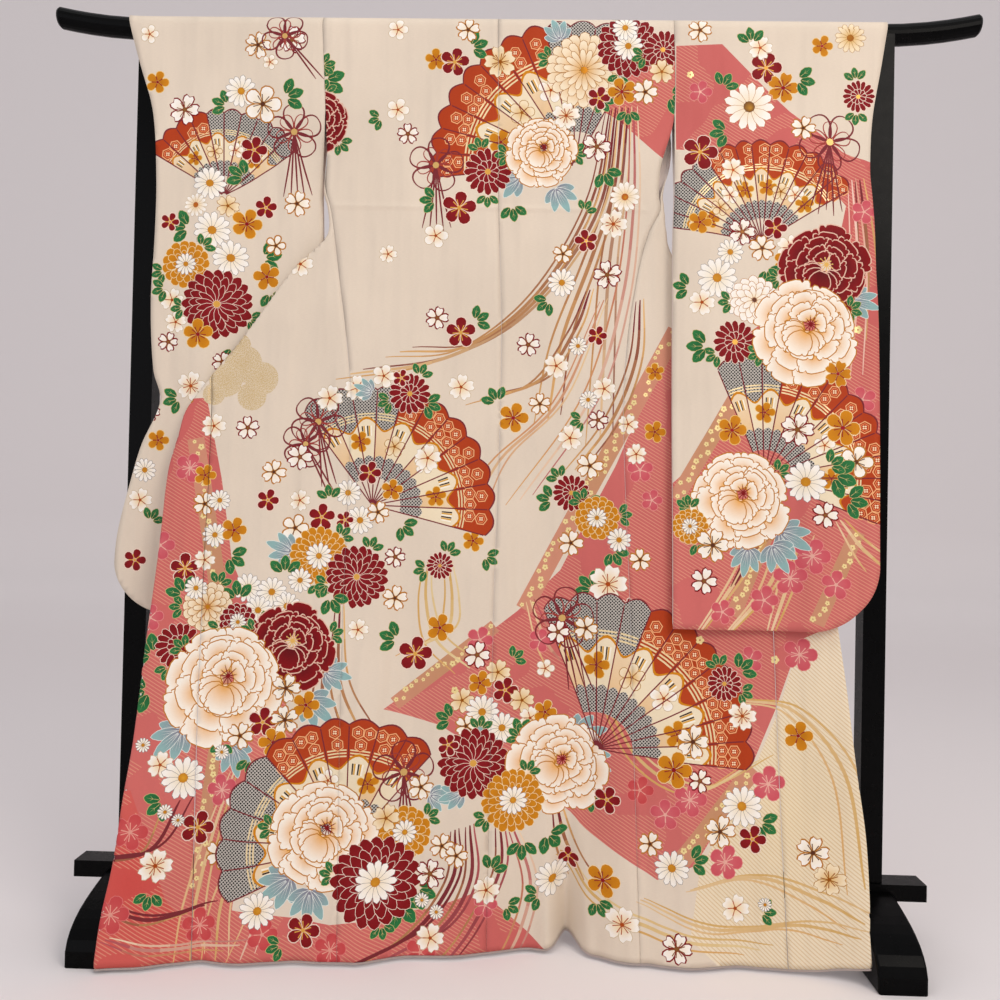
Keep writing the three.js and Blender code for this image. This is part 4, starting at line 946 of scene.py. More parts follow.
BODY_MOTIFS = """
plum 261 787 20 tone; plum 240 840 24 tone 20; plum -608 214 30 tone_deep; plum -486 407 26 tone
plum -465 279 27 tone 30; plum -626 88 30 tone_deep; plum -488 63 28 tone_deep 20; plum -598 690 26 tone
plum -611 876 28 tone 20; plum -555 827 27 tone; plum -606 565 24 tone 10; plum -270 27 28 tone_deep 10
plum -383 51 26 tone_deep; plum -123 14 26 tone_deep; plum -16 86 22 tone; plum 329 278 30 tone
plum 288 251 26 tone 20; plum 390 175 30 tone; plum 463 306 30 tone 10; plum 346 411 26 tone
plum 433 514 24 tone 30; plum 518 525 30 tone; plum 245 289 24 tone_deep; plum 70 536 22 tone
plum -36 536 24 tone
# body, top centre
fan 116 1388 250 186 62 12 -4; spray -78 1598 20 20; spray 4 1313 18 -80; cherry -82 1631 24 ochre_lined 10
plum -139 1576 21 ochre_plain 20; plum -105 1572 28 maroon 5; cherry -23 1573 31 gilt 30
broad_leaf 17 1363 55 200; broad_leaf 82 1346 52 300; broad_leaf 84 1614 44 110; broad_leaf 175 1575 44 330
kiku -41 1373 44 maroon; kiku 128 1560 68 cream; kiku 207 1604 58 fringed; kiku 269 1598 36 maroon 8
peony 54 1411 64 cream_peony 60; daisy 201 1637 24 white; cherry 98 1477 27 pale 12; plum 156 1509 22 maroon
plum 197 1521 27 ochre 36; cherry 239 1521 26 ochre_lined; cherry 268 1558 24 gilt 20; spray 280 1516 22 -20
spray 209 1488 16 -90; cord_bow -135 1384 40 10 5; plum -91 1306 32 maroon 12; plum -132 1255 23 pale
spray -133 1320 18 180; plum -206 1484 22 pale; cherry -187 1440 21 maroon_lined 20; plum -209 1630 20 pale
spray -235 1469 15 200; cherry -217 1220 18 pale; cherry 154 1421 29 maroon_lined; spray 166 1379 20 -60
daisy 206 1330 28 pale; cherry 186 1281 28 pale; plum 138 1250 22 maroon 30; cherry 97 1226 20 ochre_lined 10
daisy 96 1174 26 white; spray 75 1142 17 -140; cherry 177 1189 28 maroon_lined 30; spray 133 1302 14 60
# body, upper middle
cherry -126 1106 23 maroon_lined; plum -83 1080 29 maroon 18; spray -60 1100 18 30
cherry 38 1061 23 maroon_lined 10; cherry 89 1024 25 pale; daisy 127 1060 17 white; plum 161 1079 19 maroon
cherry -80 982 26 pale 10; plum 14 929 28 ochre; spray -14 955 18 120; cherry 61 955 22 ochre_lined 20
cherry 175 984 23 pale; daisy 147 964 17 white; spray 139 928 15 200; cherry 165 928 20 maroon_lined
cherry 116 895 25 pale 30; cherry 152 846 26 ochre_lined; plum 265 908 20 ochre_plain; cherry 218 921 20 pale
plum 264 1015 17 ochre_plain 20; cherry 233 868 20 pale 20; kiku 120 797 34 maroon; kiku 166 754 40 ochre
spray 88 784 18 170; spray 193 698 18 -60; cherry 121 708 25 ochre_lined; daisy 205 716 22 white
kiku -109 664 25 maroon; plum -52 709 20 ochre_plain; spray -32 683 16 -30; spray 163 627 20 140
cherry 187 638 36 pale; cherry 222 598 19 maroon; cherry 242 682 22 ochre_lined 20
# body, middle fan
fan -231 768 205 128 -14 11 4; cord_bow -332 914 40 60 3; cord_bow -353 874 34 150 2; cherry -313 957 26 pale
cherry -265 976 25 pale 20; plum -218 999 22 pale; broad_leaf -238 970 36 160; kiku -171 968 38 maroon
spray -144 952 18 -20; plum -187 996 17 maroon; cherry -363 851 26 maroon_lined
cherry -457 901 23 maroon_lined 20; cherry -407 823 24 ochre_lined; cherry -517 903 24 pale
cherry -136 854 26 pale 10; plum -237 825 22 maroon; plum -197 796 20 ochre 10; daisy -274 789 24 white
daisy -251 741 26 white; plum -278 741 17 maroon; cherry -220 756 22 ochre_lined; spray -181 736 18 -40
spray -306 776 16 100; plum -319 745 25 maroon 12; plum -365 725 26 ochre_lined; cherry -359 774 21 pale
plum -415 773 21 maroon; cherry -188 678 20 maroon_lined
# body, left clusters
broad_leaf -368 683 50 160; kiku -321 677 52 ochre; kiku -253 642 56 maroon 10; spray -299 608 20 -60
spray -379 643 20 90; daisy -352 634 22 white; cherry -186 606 24 ochre_lined 10; cherry -247 551 21 pale
daisy -442 619 26 white; daisy -400 613 27 white 20; daisy -422 581 25 white 40; daisy -373 589 25 white
spray -458 598 20 100; spray -403 551 18 60; broad_leaf -329 430 60 -40; broad_leaf -302 477 50 -10
broad_leaf -539 377 60 225; broad_leaf -453 353 56 285; spray -596 444 24 200; spray -594 502 22 150
kiku -555 518 40 maroon; kiku -510 585 44 cream 10; kiku -456 560 34 fringed
peony -362 517 76 maroon_peony 80; peony -472 451 102 cream_peony 75; cherry -367 449 27 ochre_lined
plum -332 421 25 ochre; plum -403 392 26 maroon 10; cherry -366 396 27 ochre_lined 30
cherry -440 369 25 ochre_lined; plum -384 359 25 ochre 36; spray -339 366 18 -50; spray -421 333 17 -90
plum -553 651 27 maroon 20; cherry -526 764 23 ochre_lined; daisy -500 771 20 white
plum -528 815 20 ochre_plain; daisy -505 710 22 white 10; plum -472 719 24 ochre; spray -480 675 20 -30
cherry -520 666 20 pale; spray -550 605 20 120; daisy -532 617 20 white; cherry -569 321 24 pale 10
spray -557 264 20 220; daisy -531 299 36 white; cherry -427 252 34 pale; spray -394 229 18 -20
cherry -380 287 24 ochre_lined; plum -502 218 28 maroon; cherry -463 176 26 ochre_lined
cherry -563 161 29 pale; spray -567 121 17 -100; daisy -600 353 13 white; daisy -555 245 13 white
daisy -534 231 11 white; daisy -470 341 13 white; daisy -331 371 13 white
# body, lower left fan
fan -253 185 205 204 48 11 5; cord_bow -161 309 42 20 4; cherry -131 284 24 ochre_lined
broad_leaf -343 138 62 215; broad_leaf -309 119 60 265; broad_leaf -115 271 40 -20; spray -163 96 26 -50
spray -135 117 22 -20; kiku -156 209 46 ochre; peony -293 206 92 cream_peony 60; cherry -188 234 25 gilt
kiku -201 132 76 fringed; cherry -92 187 23 ochre_lined; cherry -111 141 27 maroon_lined
plum -317 56 29 maroon; daisy -393 88 30 white; cherry -107 37 26 pale; daisy -123 98 13 white
daisy -98 79 13 white; spray -350 34 16 200; cherry -15 111 26 pale; spray -9 141 18 60; spray 18 83 16 -30
# body, lower centre
spray -80 398 18 160; broad_leaf -17 355 46 120; broad_leaf -60 277 44 200; broad_leaf 134 369 60 20
broad_leaf 152 343 52 -30; cherry -40 510 26 maroon_lined; plum -106 556 25 ochre; plum -148 510 31 maroon 10
spray -178 534 20 160; plum -34 462 22 ochre; cherry -3 480 24 gilt; plum 10 449 24 maroon
cherry 40 431 24 gilt; cherry -64 432 24 gilt; daisy -29 412 30 white; daisy 6 384 28 white 10
cherry -56 388 22 ochre_lined; cherry 55 400 22 pale; plum 81 411 22 ochre; spray 38 371 18 60
spray 21 501 15 40; kiku -42 325 62 maroon; plum -86 356 20 maroon; peony 102 319 86 cream_peony 40
kiku 28 259 55 ochre; spray 87 204 22 -50; spray 45 190 20 -90; cherry -67 171 22 ochre_lined
plum 190 269 24 maroon; plum 127 150 20 maroon 20; daisy 99 124 31 white; spray 78 98 17 200
plum 185 134 29 ochre; spray 174 99 17 -60; cherry 217 68 32 pale; cherry 307 37 28 maroon_lined
# body, right fan
fan 171 354 255 112 -6 11 4; cord_bow 108 575 44 80 4; cherry 101 551 23 maroon_lined
cherry 150 559 24 ochre_lined; plum 80 487 17 pale; kiku 389 472 31 maroon; spray 413 493 19 40
cherry 420 418 27 pale; cherry 334 374 31 ochre_lined; plum 302 326 32 ochre; cherry 346 309 22 maroon_lined
daisy 419 267 35 white; spray 446 243 20 -30; cherry 381 225 30 ochre_lined; plum 436 214 24 maroon
cherry 263 201 23 ochre_lined; daisy 299 165 30 white; spray 329 177 19 10; cherry 407 100 26 pale
plum 514 388 26 ochre; cherry 535 196 30 ochre_lined; cherry 560 152 28 gilt; spray 448 97 16 0
daisy 456 109 12 white; gilt_blossom -77 449 7; gilt_blossom 346 546 8; gilt_blossom 476 515 8
"""

body_print = Print()
field(body_print, SHOULDER_BAND, "cc6660", "d06e68", HATCH)
field(body_print, LOWER_BAND, "c8635f", "d27670", HATCH)
field(body_print, LEFT_PANEL, "d16f68", "cb6460", HATCH)
field(body_print, LEFT_CORNER, "cf4f48", "d26a62", HATCH)
field(body_print, PALE_CORNER, "ead9b8", "f0e2cc", PALE_HATCH)
for start, end, width in (((300, 1090), (40, 590), 30), ((-10, 560), (-180, 425), 24),
                          ((-548, 880), (-470, 500), 30), ((440, 330), (300, 160), 30),
                          ((-470, 500), (-500, 120), 22)):
    gilt_band(body_print, start, end, width)
brush(body_print, BODY_LINES)
for x, z, r in DUST_CLOUD:
    field(body_print, lay(disc(r, 20), (x, z)), "dac6a6", "e0cfb4", DUST)
bouquet(body_print, (-455, 1475))
bouquet(body_print, (-600, 1120), 20, 0.85)
bouquet(body_print, (432, 1380), -10, 0.9)
bouquet(body_print, (590, 1090), 10, 0.85)
scatter(body_print, (-560, 1180), (-360, 1330), 6)
scatter(body_print, (330, 1500), (520, 1640), 6)
scatter(body_print, (-700, 940), (-560, 1010), 3)
decorate(body_print, BODY_MOTIFS)

# The panels' meshes, from the hem up to the shoulder fold on top of the bar.
STEP = 10
OVER_BAR_ROWS = BAR_CENTRE + (SHOULDER - BAR_CENTRE) * np.array([0.2, 0.4, 0.6, 0.8, 1])
TUCK_ROWS = TUCK_HEIGHT + np.array([-7, -3.5, 0, 3.5, 7])
for side in ("left", "right"):
    rows = np.concatenate([np.union1d(spaced(HEM, BAR_CENTRE, STEP), TUCK_ROWS), OVER_BAR_ROWS])
    middle, outer = edge_x(rows, "centre") + sign(side) * SEAM_GAP / 2, edge_x(rows, side)
    bottom = lerp(middle[0], outer[0], np.linspace(0, 1, 60))
    top = lerp(outer[-1], middle[-1], np.linspace(0, 1, 30))
    outline = joined((bottom, HEM), (outer, rows), (top, SHOULDER), (middle[::-1], rows[::-1]))
    inside = []
    for z, a, b in zip(rows[1:-1], middle[1:-1], outer[1:-1]):
        low, high = min(a, b), max(a, b)
        folds = [x for x in near_folds(z) if low + 1.5 < x < high - 1.5]
        inside += [(x, z) for x in list(spaced(low, high, STEP)[1:-1]) + folds]
    build_cloth("back_" + side, back_surface, outline, np.array(inside), body_print.shapes,
                abs(signed_area(outline)) / 1e6)

# ------------------------------------------------------------------ the front panels
# The front halves of the same two lengths, with a tapering overlap panel (okumi) sewn to each. They come
# over the bar, hang behind the back panels, and are swung out past the side seams, where they show.

FOLDED_SEAM_GAP = 1
ARMHOLE = 1474
SLIT_END = 1310
SLIT_EASE = 110
# Widths at the hem and at the top, and the height from which they narrow.
FRONT_WIDE, FRONT_NARROW, FRONT_TAPER, FRONT_TAPER_LENGTH = 255, 230, 1300, 360
OKUMI_WIDE, OKUMI_NARROW, OKUMI_TAPER, OKUMI_TIP = 160, 2, 100, 1430
FOLD_DEPTH = 8
FOLD_LOW = 1240
RIGHT_DRIFT = 13
DRIFT_WIDTH = 90
# How far each front is swung out past its side seam, as (height, distance), how much of its width that
# leaves, and how far its edge shows in the slit below the armhole.
SPREAD = {
    "left": [(1310, 5), (1265, 9), (1245, 21), (1196, 77), (1054, 196), (989, 253), (932, 293), (891, 304),
             (823, 319), (714, 324), (632, 328), (527, 336), (364, 346), (266, 357), (161, 367), (80, 380),
             (0, 386)],
    "right": [(1310, 5), (1288, 17), (1267, 31), (1249, 38), (1219, 58), (1150, 108), (1054, 196), (989, 253),
              (932, 291), (850, 316), (700, 343), (553, 356), (461, 363), (328, 370), (224, 376), (120, 374),
              (60, 370), (0, 369)],
}
DRAWN_IN = {"left": 0.933, "right": 0.957}
SLIT_SHOW = {"left": 4, "right": 16}


def front_edge_x(side, z):
    """Where a front starts at its side seam, with what shows of it in the slit."""
    in_slit = np.clip((z - SLIT_END) / (ARMHOLE - SLIT_END), 0, 1)
    show = SLIT_SHOW[side] * np.sin(math.pi * in_slit) ** 2
    return edge_x(z, side) + sign(side) * (SEAM_GAP + show) * ease((ARMHOLE - z) / 40)


def layer_depth(z):
    """How far the front hangs behind the back."""
    return lerp(FOLD_DEPTH, 2 * RIDGE_Y, ease((z - FOLD_LOW) / (BAR_CENTRE - FOLD_LOW)))


def front_width(z):
    return lerp(FRONT_WIDE, FRONT_NARROW, ease((z - FRONT_TAPER) / FRONT_TAPER_LENGTH))


def okumi_width(z):
    return lerp(OKUMI_WIDE, OKUMI_NARROW, np.clip((z - OKUMI_TAPER) / (OKUMI_TIP - OKUMI_TAPER), 0, 1) ** 1.5)


def row_shape(side, z):
    """Radius of the soft fold, how much the swung-out cloth is drawn in, and its flat stretch."""
    radius = layer_depth(z) / 2
    drawn = lerp(DRAWN_IN[side], 0.97, np.clip(z / 850, 0, 1))
    out = look_up([p[0] for p in SPREAD[side]], [p[1] for p in SPREAD[side]], z)
    flat = np.maximum(0, out - radius) / drawn
    turned = -math.pi * radius * ease((z - SLIT_END) / SLIT_EASE)
    return radius, drawn, np.where(z > SLIT_END, turned, flat)


def row_point(shape, along, drift):
    """A place along a row, out past the seam, round the soft fold and back: its distance out and depth."""
    radius, drawn, straight = shape
    past = along - straight
    turn = math.pi * radius
    flat = np.maximum(straight, 0) * drawn + np.minimum(straight, 0)
    angle = np.clip(past / radius, 0, math.pi)
    out = np.where(past <= 0, along * drawn, flat + radius * np.sin(angle) - np.maximum(0, past - turn))
    return out, radius * (1 - np.cos(angle)) + drift * ease((past - turn) / DRIFT_WIDTH)


def front_surface(side, along, v):
    """A place of a front, so far along from its side seam."""
    edge = front_edge_x(side, v)
    bx, by, bz = over_bar(edge - sign(side) * along, v, 1)
    drift = RIGHT_DRIFT * ease((BAR_CENTRE - v) / 250) if side == "right" else 0
    shape = row_shape(side, v)
    out, back = row_point(shape, along, drift)
    start = np.minimum(0, row_point(shape, 0 * along, 0)[0])
    x = edge + sign(side) * (out - start)
    height = raised(x, v)
    over = v > BAR_CENTRE
    return np.where(over, bx, x), np.where(over, by, cloth_y(x, height) + back), np.where(over, bz, height)


# The print runs on past the side seam as if the cloth lay flat.
for side in ("left", "right"):
    drawn_at = lambda z: row_shape(side, z)[1]
    flat_x = lambda u, z: front_edge_x(side, z) + sign(side) * u * drawn_at(z)
    surface = lambda x, v: front_surface(side, (x - front_edge_x(side, v)) * sign(side) / drawn_at(v), v)
    for part, size, columns in (("front", (0.265, 1.67), 50), ("okumi", (0.165, 1.43), 24)):
        if part == "front":
            rows = np.concatenate([spaced(HEM, BAR_CENTRE, STEP), OVER_BAR_ROWS])
            start, end = 0 * rows, front_width(rows)
        else:
            rows = spaced(HEM, OKUMI_TIP, STEP)
            start = front_width(rows) + FOLDED_SEAM_GAP
            end = start + okumi_width(rows)
        radii, _, flats = row_shape(side, rows)
        inside = []
        for z, a, b, radius, straight in list(zip(rows, start, end, radii, flats))[1:-1]:
            along = spaced(a, b, STEP)[1:-1]
            if z < BAR_CENTRE:
                turn = math.pi * radius
                round_fold = [u for u in straight + turn * np.linspace(0, 1, 7) if a + 1.5 < u < b - 1.5]
                along = [u for u in along if not straight - 2 < u < straight + turn + 2] + round_fold
            inside += [(float(flat_x(u, z)), z) for u in along]
        low_end, high_end = (lerp(start[row], end[row], np.linspace(0, 1, columns)) for row in (0, -1))
        outline = joined((flat_x(low_end, rows[0] + 0 * low_end), rows[0]), (flat_x(end, rows), rows),
                         (flat_x(high_end, rows[-1] + 0 * high_end)[::-1], rows[-1]),
                         (flat_x(start, rows)[::-1], rows[::-1]))
        true_area = abs(signed_area(np.concatenate(
            [np.stack([start, rows], 1), np.stack([end, rows], 1)[::-1]])))
        build_cloth(part + "_" + side, surface, outline, np.array(inside), body_print.shapes,
                    true_area / 1e6)

# ------------------------------------------------------------------ the sleeves
# One long width of the same printed silk each, folded over the bar and sewn along the bottom, with a
# rounded outer corner. The cuff is sewn up below the hand's opening, and the inner edge hangs free
# below the armhole.

CUFF_END = 1410
# Height, and x of the inner edge, of the outer edge of the near layer and of that of the far layer.
SLEEVE = {
    "left": [(1661, -348, -706, -706), (1600, -345, -690, -672), (1560, -343, -678, -638),
             (1474, -338, -652, -634), (1347, -341, -640, -634), (1250, -338, -640, -636),
             (1126, -338, -644, -640), (1003, -339, -636, -636), (948, -340, -622, -622),
             (869, -342, -654, -654), (808, -343, -671, -671), (712, -346, -693, -693),
             (650, -348, -698, -698), (562, -350, -696, -696)],
    "right": [(1661, 288, 672, 672), (1600, 290, 663, 655), (1560, 291, 657, 638), (1474, 292, 643, 634),
              (1379, 292, 637, 632), (1326, 292, 640, 634), (1270, 290, 643, 638), (1200, 290, 645, 644),
              (1113, 291, 649, 649), (902, 293, 649, 649), (691, 296, 645, 645), (553, 297, 642, 642)],
}
SLEEVE_BOTTOM = {"left": 567, "right": 566}
SLEEVE_CORNER = {"left": 95, "right": 117}
SLEEVE_WIDTH = 346
# Below this height, over this length, a sleeve goes over from the bar to where it hangs.
FALL_TOP, FALL_LENGTH = 1560, {"left": 260, "right": 300}
# The left sleeve drifts behind the stand from its inner to its outer edge, with half its hollow each way.
LEFT_INNER_Y, LEFT_OUTER_Y, LEFT_HALF_HOLLOW = -8, -28, 5
# The right sleeve lies on the spread front, its near and far layers so far before it.
RIGHT_NEAR, RIGHT_FAR = 18, 8
# Half the gap where two layers are sewn together, and the share of the width over which the cuff closes.
SEWN_HALF, CUFF_CLOSING = 0.9, 0.14
# Folds, each a place across, a height and a width, and finer creases, which have a top and a bottom too.
SLEEVE_FOLDS = [(0.18, 4, 0.08), (0.44, -4, 0.1), (0.7, 4, 0.08), (0.9, -5, 0.045)]
SLEEVE_CREASES = [(0.09, 1500, 1180, 1.6, 0.03), (0.3, 1600, 1250, -1.4, 0.035), (0.56, 1500, 900, 1.3, 0.03),
                  (0.78, 1420, 1020, -1.3, 0.025), (0.33, 980, 640, 1.6, 0.035), (0.62, 900, 620, -1.5, 0.03),
                  (0.12, 900, 600, -1.3, 0.03)]
# The length of cloth on the bar, from the near layer to the far one, and the far end of the whole length.
OVER = math.pi * RIDGE_Z
FAR_TOP = 2 * BAR_CENTRE + OVER


def sleeve_edge(side, z, column):
    """An edge of a sleeve from the columns of its table."""
    table = SLEEVE[side]
    x = look_up([r[0] for r in table], [r[column] for r in table], z)
    if column == 1:
        x = np.where(z >= ARMHOLE, edge_x(z, side), x) + sign(side) * SEAM_GAP
    return x


def sleeve_bottom(side, across):
    """The bottom edge, with its rounded outer corner."""
    bottom, corner = SLEEVE_BOTTOM[side], SLEEVE_CORNER[side]
    into = np.clip((across * SLEEVE_WIDTH - (SLEEVE_WIDTH - corner)) / corner, 0, 1)
    return bottom + corner * (1 - np.sqrt(1 - into * into * 0.995))


def sleeve_layer(side, across, z, near):
    """One layer of a sleeve, near or far, below the bar."""
    x = lerp(sleeve_edge(side, z, 1), sleeve_edge(side, z, 2 if near else 3), across)
    if side == "left":
        middle = lerp(LEFT_INNER_Y, LEFT_OUTER_Y, ease((across - 0.15) / 0.65))
        near_hung, far_hung = middle - LEFT_HALF_HOLLOW, middle + LEFT_HALF_HOLLOW
    else:
        under = cloth_y(x, z, False) + folds_at(x, z, FOLDS)
        near_hung, far_hung = under - RIGHT_NEAR, under - RIGHT_FAR
    low = ease((FALL_TOP - z) / FALL_LENGTH[side])
    near_y, far_y = lerp(-RIDGE_Y, near_hung, low), lerp(RIDGE_Y, far_hung, low)
    closing = ease((across - 1 + CUFF_CLOSING) / CUFF_CLOSING) * ease((CUFF_END + 60 - z) / 60)
    far_y = lerp(far_y, np.minimum(far_y, near_y + 2 * SEWN_HALF), closing)
    folded = sum(size * np.exp(-(((across - place) / width) ** 2)) for place, size, width in SLEEVE_FOLDS)
    for place, top, low_end, size, width in SLEEVE_CREASES:
        fade = ease((top - z) / 90) * ease((z - low_end) / 90)
        folded = folded + size * fade * np.exp(-(((across - place) / width) ** 2))
    folded = folded * ease((BAR_CENTRE - z) / 260)
    if side == "left":
        folded = folded * (1 - ease((np.abs(x) - 585) / 40))
    above_bottom = ease((z - sleeve_bottom(side, across)) / 14)
    middle_y = near_y + np.minimum(SEWN_HALF, (far_y - near_y) / 2)
    y = lerp(middle_y + (-SEWN_HALF if near else SEWN_HALF), near_y if near else far_y, above_bottom) - folded
    sewn = (1 - ease(across / 0.3)) * ease((z - ARMHOLE + 70) / 70)
    seam_y = cloth_y(edge_x(z, side), z) + (0 if near else layer_depth(z))
    return x, lerp(y, seam_y, sewn), z


def sleeve_surface(side, across, v):
    """A sleeve is one length of cloth: up the near layer, over the bar, and down the far layer."""
    near_side = sleeve_layer(side, across, np.minimum(v, BAR_CENTRE), True)
    far_side = sleeve_layer(side, across, np.minimum(BAR_CENTRE, FAR_TOP - v), False)
    turn = (v - BAR_CENTRE) / RIDGE_Z
    height = BAR_CENTRE + RIDGE_Z * np.sin(np.clip(turn, 0, math.pi))
    x = lerp(sleeve_edge(side, BAR_CENTRE + 20, 1), sleeve_edge(side, height, 2), across)
    on_bar = x, -RIDGE_Y * np.cos(turn), BAR_CENTRE + bar_rise(x) + RIDGE_Z * np.sin(turn)
    near, far = v <= BAR_CENTRE, v >= BAR_CENTRE + OVER
    return tuple(np.where(near, a, np.where(far, c, b)) for a, b, c in zip(near_side, on_bar, far_side))


# The sleeves' prints. The far layers, which hang out of sight, have bouquets and strewn blossoms.
LEFT_SLEEVE_MOTIFS = """
fan -517 1322 152 150 34 10 -6; cord_bow -394 1442 40 20 5; plum -646 1530 22 ochre_plain
cherry -594 1479 31 maroon_lined; spray -516 1488 18 160; daisy -493 1516 30 white
plum -453 1493 36 ochre_lined; spray -414 1504 22 20; plum -468 1410 26 maroon; spray -481 1358 20 150
daisy -542 1343 30 white; cherry -387 1313 26 ochre_lined; cherry -510 1304 22 gilt
plum -444 1305 22 maroon 10; daisy -566 1303 22 pale; spray -576 1261 22 170; daisy -536 1258 34 white
plum -477 1274 28 ochre_plain; daisy -503 1210 33 white 10; spray -449 1213 22 10; kiku -582 1196 44 ochre
plum -424 1236 20 ochre_lined; plum -439 1179 26 ochre 30; spray -433 1152 18 -70; cherry -606 1131 24 pale
cherry -598 1091 22 pale 10; spray -617 1152 16 200; kiku -525 1125 64 maroon; spray -497 1051 20 -70
plum -556 1069 28 ochre_plain 20; cherry -611 1055 20 maroon_lined; cherry -513 1021 20 maroon_lined
plum -613 1272 18 maroon; cherry -464 1600 27 ochre_lined; cherry -402 1610 27 maroon_lined 10
cord_bow -415 1617 34 200 2; plum -663 1618 18 pale; plum -441 1569 15 pale; cherry -567 976 29 pale
spray -588 954 18 200; cherry -640 928 20 maroon_lined; plum -624 877 20 ochre_plain; cherry -654 769 24 pale
plum -661 661 22 maroon; daisy -647 823 22 white; spray -635 730 16 60
"""
LEFT_FAR_FIELD = [(-760, 540), (-330, 540), (-330, 760), (-440, 820), (-560, 700), (-760, 660)]
RIGHT_SLEEVE_FIELD = [(293, 1605), (375, 1609), (497, 1487), (589, 1414), (681, 1377), (666, 542), (275, 530),
    (273, 798), (324, 844), (379, 922), (404, 1001), (410, 1072), (500, 1144), (569, 1202), (594, 1314),
    (524, 1389), (452, 1413), (376, 1351), (337, 1413), (295, 1414)]
RIGHT_SLEEVE_LINES = [
    ("e8c8a0", "d2a860", 3, [(343, 562), (416, 669), (461, 757)]),
    ("e8c8a0", "d2a860", 3, [(388, 556), (458, 636), (498, 723)]),
    ("e8c8a0", "d2a860", 2.6, [(464, 557), (491, 637), (515, 723)]),
    ("e8c8a0", "d2a860", 2.6, [(581, 759), (617, 712), (648, 682)]),
    (CORD, "e0b070", 2.6, [(403, 643), (444, 713), (461, 757)]),
    ("e8c8a0", "d2a860", 2.6, [(301, 736), (342, 768), (376, 790)]),
    (CORD, "e0b070", 2.4, [(619, 1362), (631, 1217), (628, 1075)]),
    ("f0c8b8", "e0a890", 2, [(606, 1363), (615, 1182), (600, 1004)]),
]
RIGHT_SLEEVE_MOTIFS = """
plum 534 696 32 tone; plum 498 657 30 tone 20; plum 454 618 26 tone; plum 381 597 22 tone
plum 573 648 26 tone 10; plum 625 1303 22 tone; plum 621 969 24 tone 30; plum 337 1522 22 tone
cherry 335 1634 24 ochre_lined; spray 376 1529 18 60; plum 454 1567 30 maroon; cherry 485 1531 30 ochre
cherry 443 1603 24 pale; spray 508 1546 20 -10; spray 428 1610 18 100; plum 553 1607 20 ochre_plain
daisy 603 1622 28 gilt; fan 448 1248 178 172 96 8 5; fan 448 1248 178 96 32 6 0; cord_bow 567 1431 44 -20 5
kiku 619 1517 30 maroon; daisy 425 1496 46 ochre_lined; spray 387 1448 20 190; cherry 520 1456 24 ochre_lined
plum 337 1409 34 maroon; cherry 396 1378 24 pale; cherry 412 1265 27 maroon_lined
plum 337 1280 22 ochre_plain; daisy 391 1228 24 white; cherry 448 1237 26 ochre_lined 20
plum 470 1273 22 maroon; cherry 496 1237 26 pale; plum 489 1212 22 ochre; spray 455 1202 18 -60
daisy 368 1181 36 white; daisy 406 1143 30 white 20; cherry 342 1137 26 pale; spray 321 1163 18 170
broad_leaf 437 1034 56 230; broad_leaf 497 1006 54 280; broad_leaf 605 1146 50 -20
peony 554 1194 82 maroon_peony 70; fan 454 830 205 114 -22 12 3; kiku 401 1068 40 maroon
spray 353 1059 22 180; kiku 435 1144 44 ochre_lined; peony 524 1087 92 cream_peony 60
cherry 579 1014 26 ochre; plum 397 912 27 ochre_plain; cherry 510 915 32 maroon_lined; plum 587 919 32 ochre
plum 610 860 30 ochre_lined; spray 568 838 26 -20; spray 591 794 22 -10; broad_leaf 481 736 60 -30
broad_leaf 426 707 52 260; broad_leaf 468 713 56 300; peony 411 789 88 cream_peony 65; daisy 524 824 37 white
cherry 556 767 25 maroon_lined; spray 561 852 18 30; kiku 325 743 32 ochre; cherry 364 711 32 ochre_lined
cherry 349 649 25 maroon_lined; gilt_blossom 319 1553 7; gilt_blossom 615 1093 8
"""
RIGHT_FAR_FIELD = [(720, 540), (260, 540), (260, 880), (380, 980), (520, 860), (720, 1120)]


def far_field(cloth, points):
    """A coral field of a far layer, its heights counted from the far end."""
    field(cloth, [(x, FAR_TOP - z) for x, z in points], "c6605c", "cf6d68", HATCH)


left_sleeve_print = Print()
decorate(left_sleeve_print, LEFT_SLEEVE_MOTIFS)
far_field(left_sleeve_print, LEFT_FAR_FIELD)
bouquet(left_sleeve_print, (-490, FAR_TOP - 1370), 180)
bouquet(left_sleeve_print, (-470, FAR_TOP - 830), 180)
scatter(left_sleeve_print, (-630, FAR_TOP - 1180), (-370, FAR_TOP - 1010), 7)
scatter(left_sleeve_print, (-640, FAR_TOP - 690), (-380, FAR_TOP - 600), 4)

right_sleeve_print = Print()
field(right_sleeve_print, RIGHT_SLEEVE_FIELD, "c6605c", "cf6d68", HATCH)
for start, end in (((420, 1000), (300, 790)), ((470, 760), (400, 590)), ((610, 740), (540, 580))):
    gilt_band(right_sleeve_print, start, end, 26)
brush(right_sleeve_print, RIGHT_SLEEVE_LINES)
decorate(right_sleeve_print, RIGHT_SLEEVE_MOTIFS)
far_field(right_sleeve_print, RIGHT_FAR_FIELD)
bouquet(right_sleeve_print, (450, FAR_TOP - 1300), 190)
bouquet(right_sleeve_print, (480, FAR_TOP - 760), 175)
scatter(right_sleeve_print, (330, FAR_TOP - 1130), (600, FAR_TOP - 950), 7)

SLEEVE_STEP = 12
SLEEVE_COLUMNS = 35


def sleeve_rows(low):
    """Rows from one end of a sleeve's length to the other."""
    half = spaced(low, BAR_CENTRE, SLEEVE_STEP)
    return np.concatenate([half, BAR_CENTRE + OVER * np.linspace(0, 1, 13)[1:-1], (FAR_TOP - half)[::-1]])


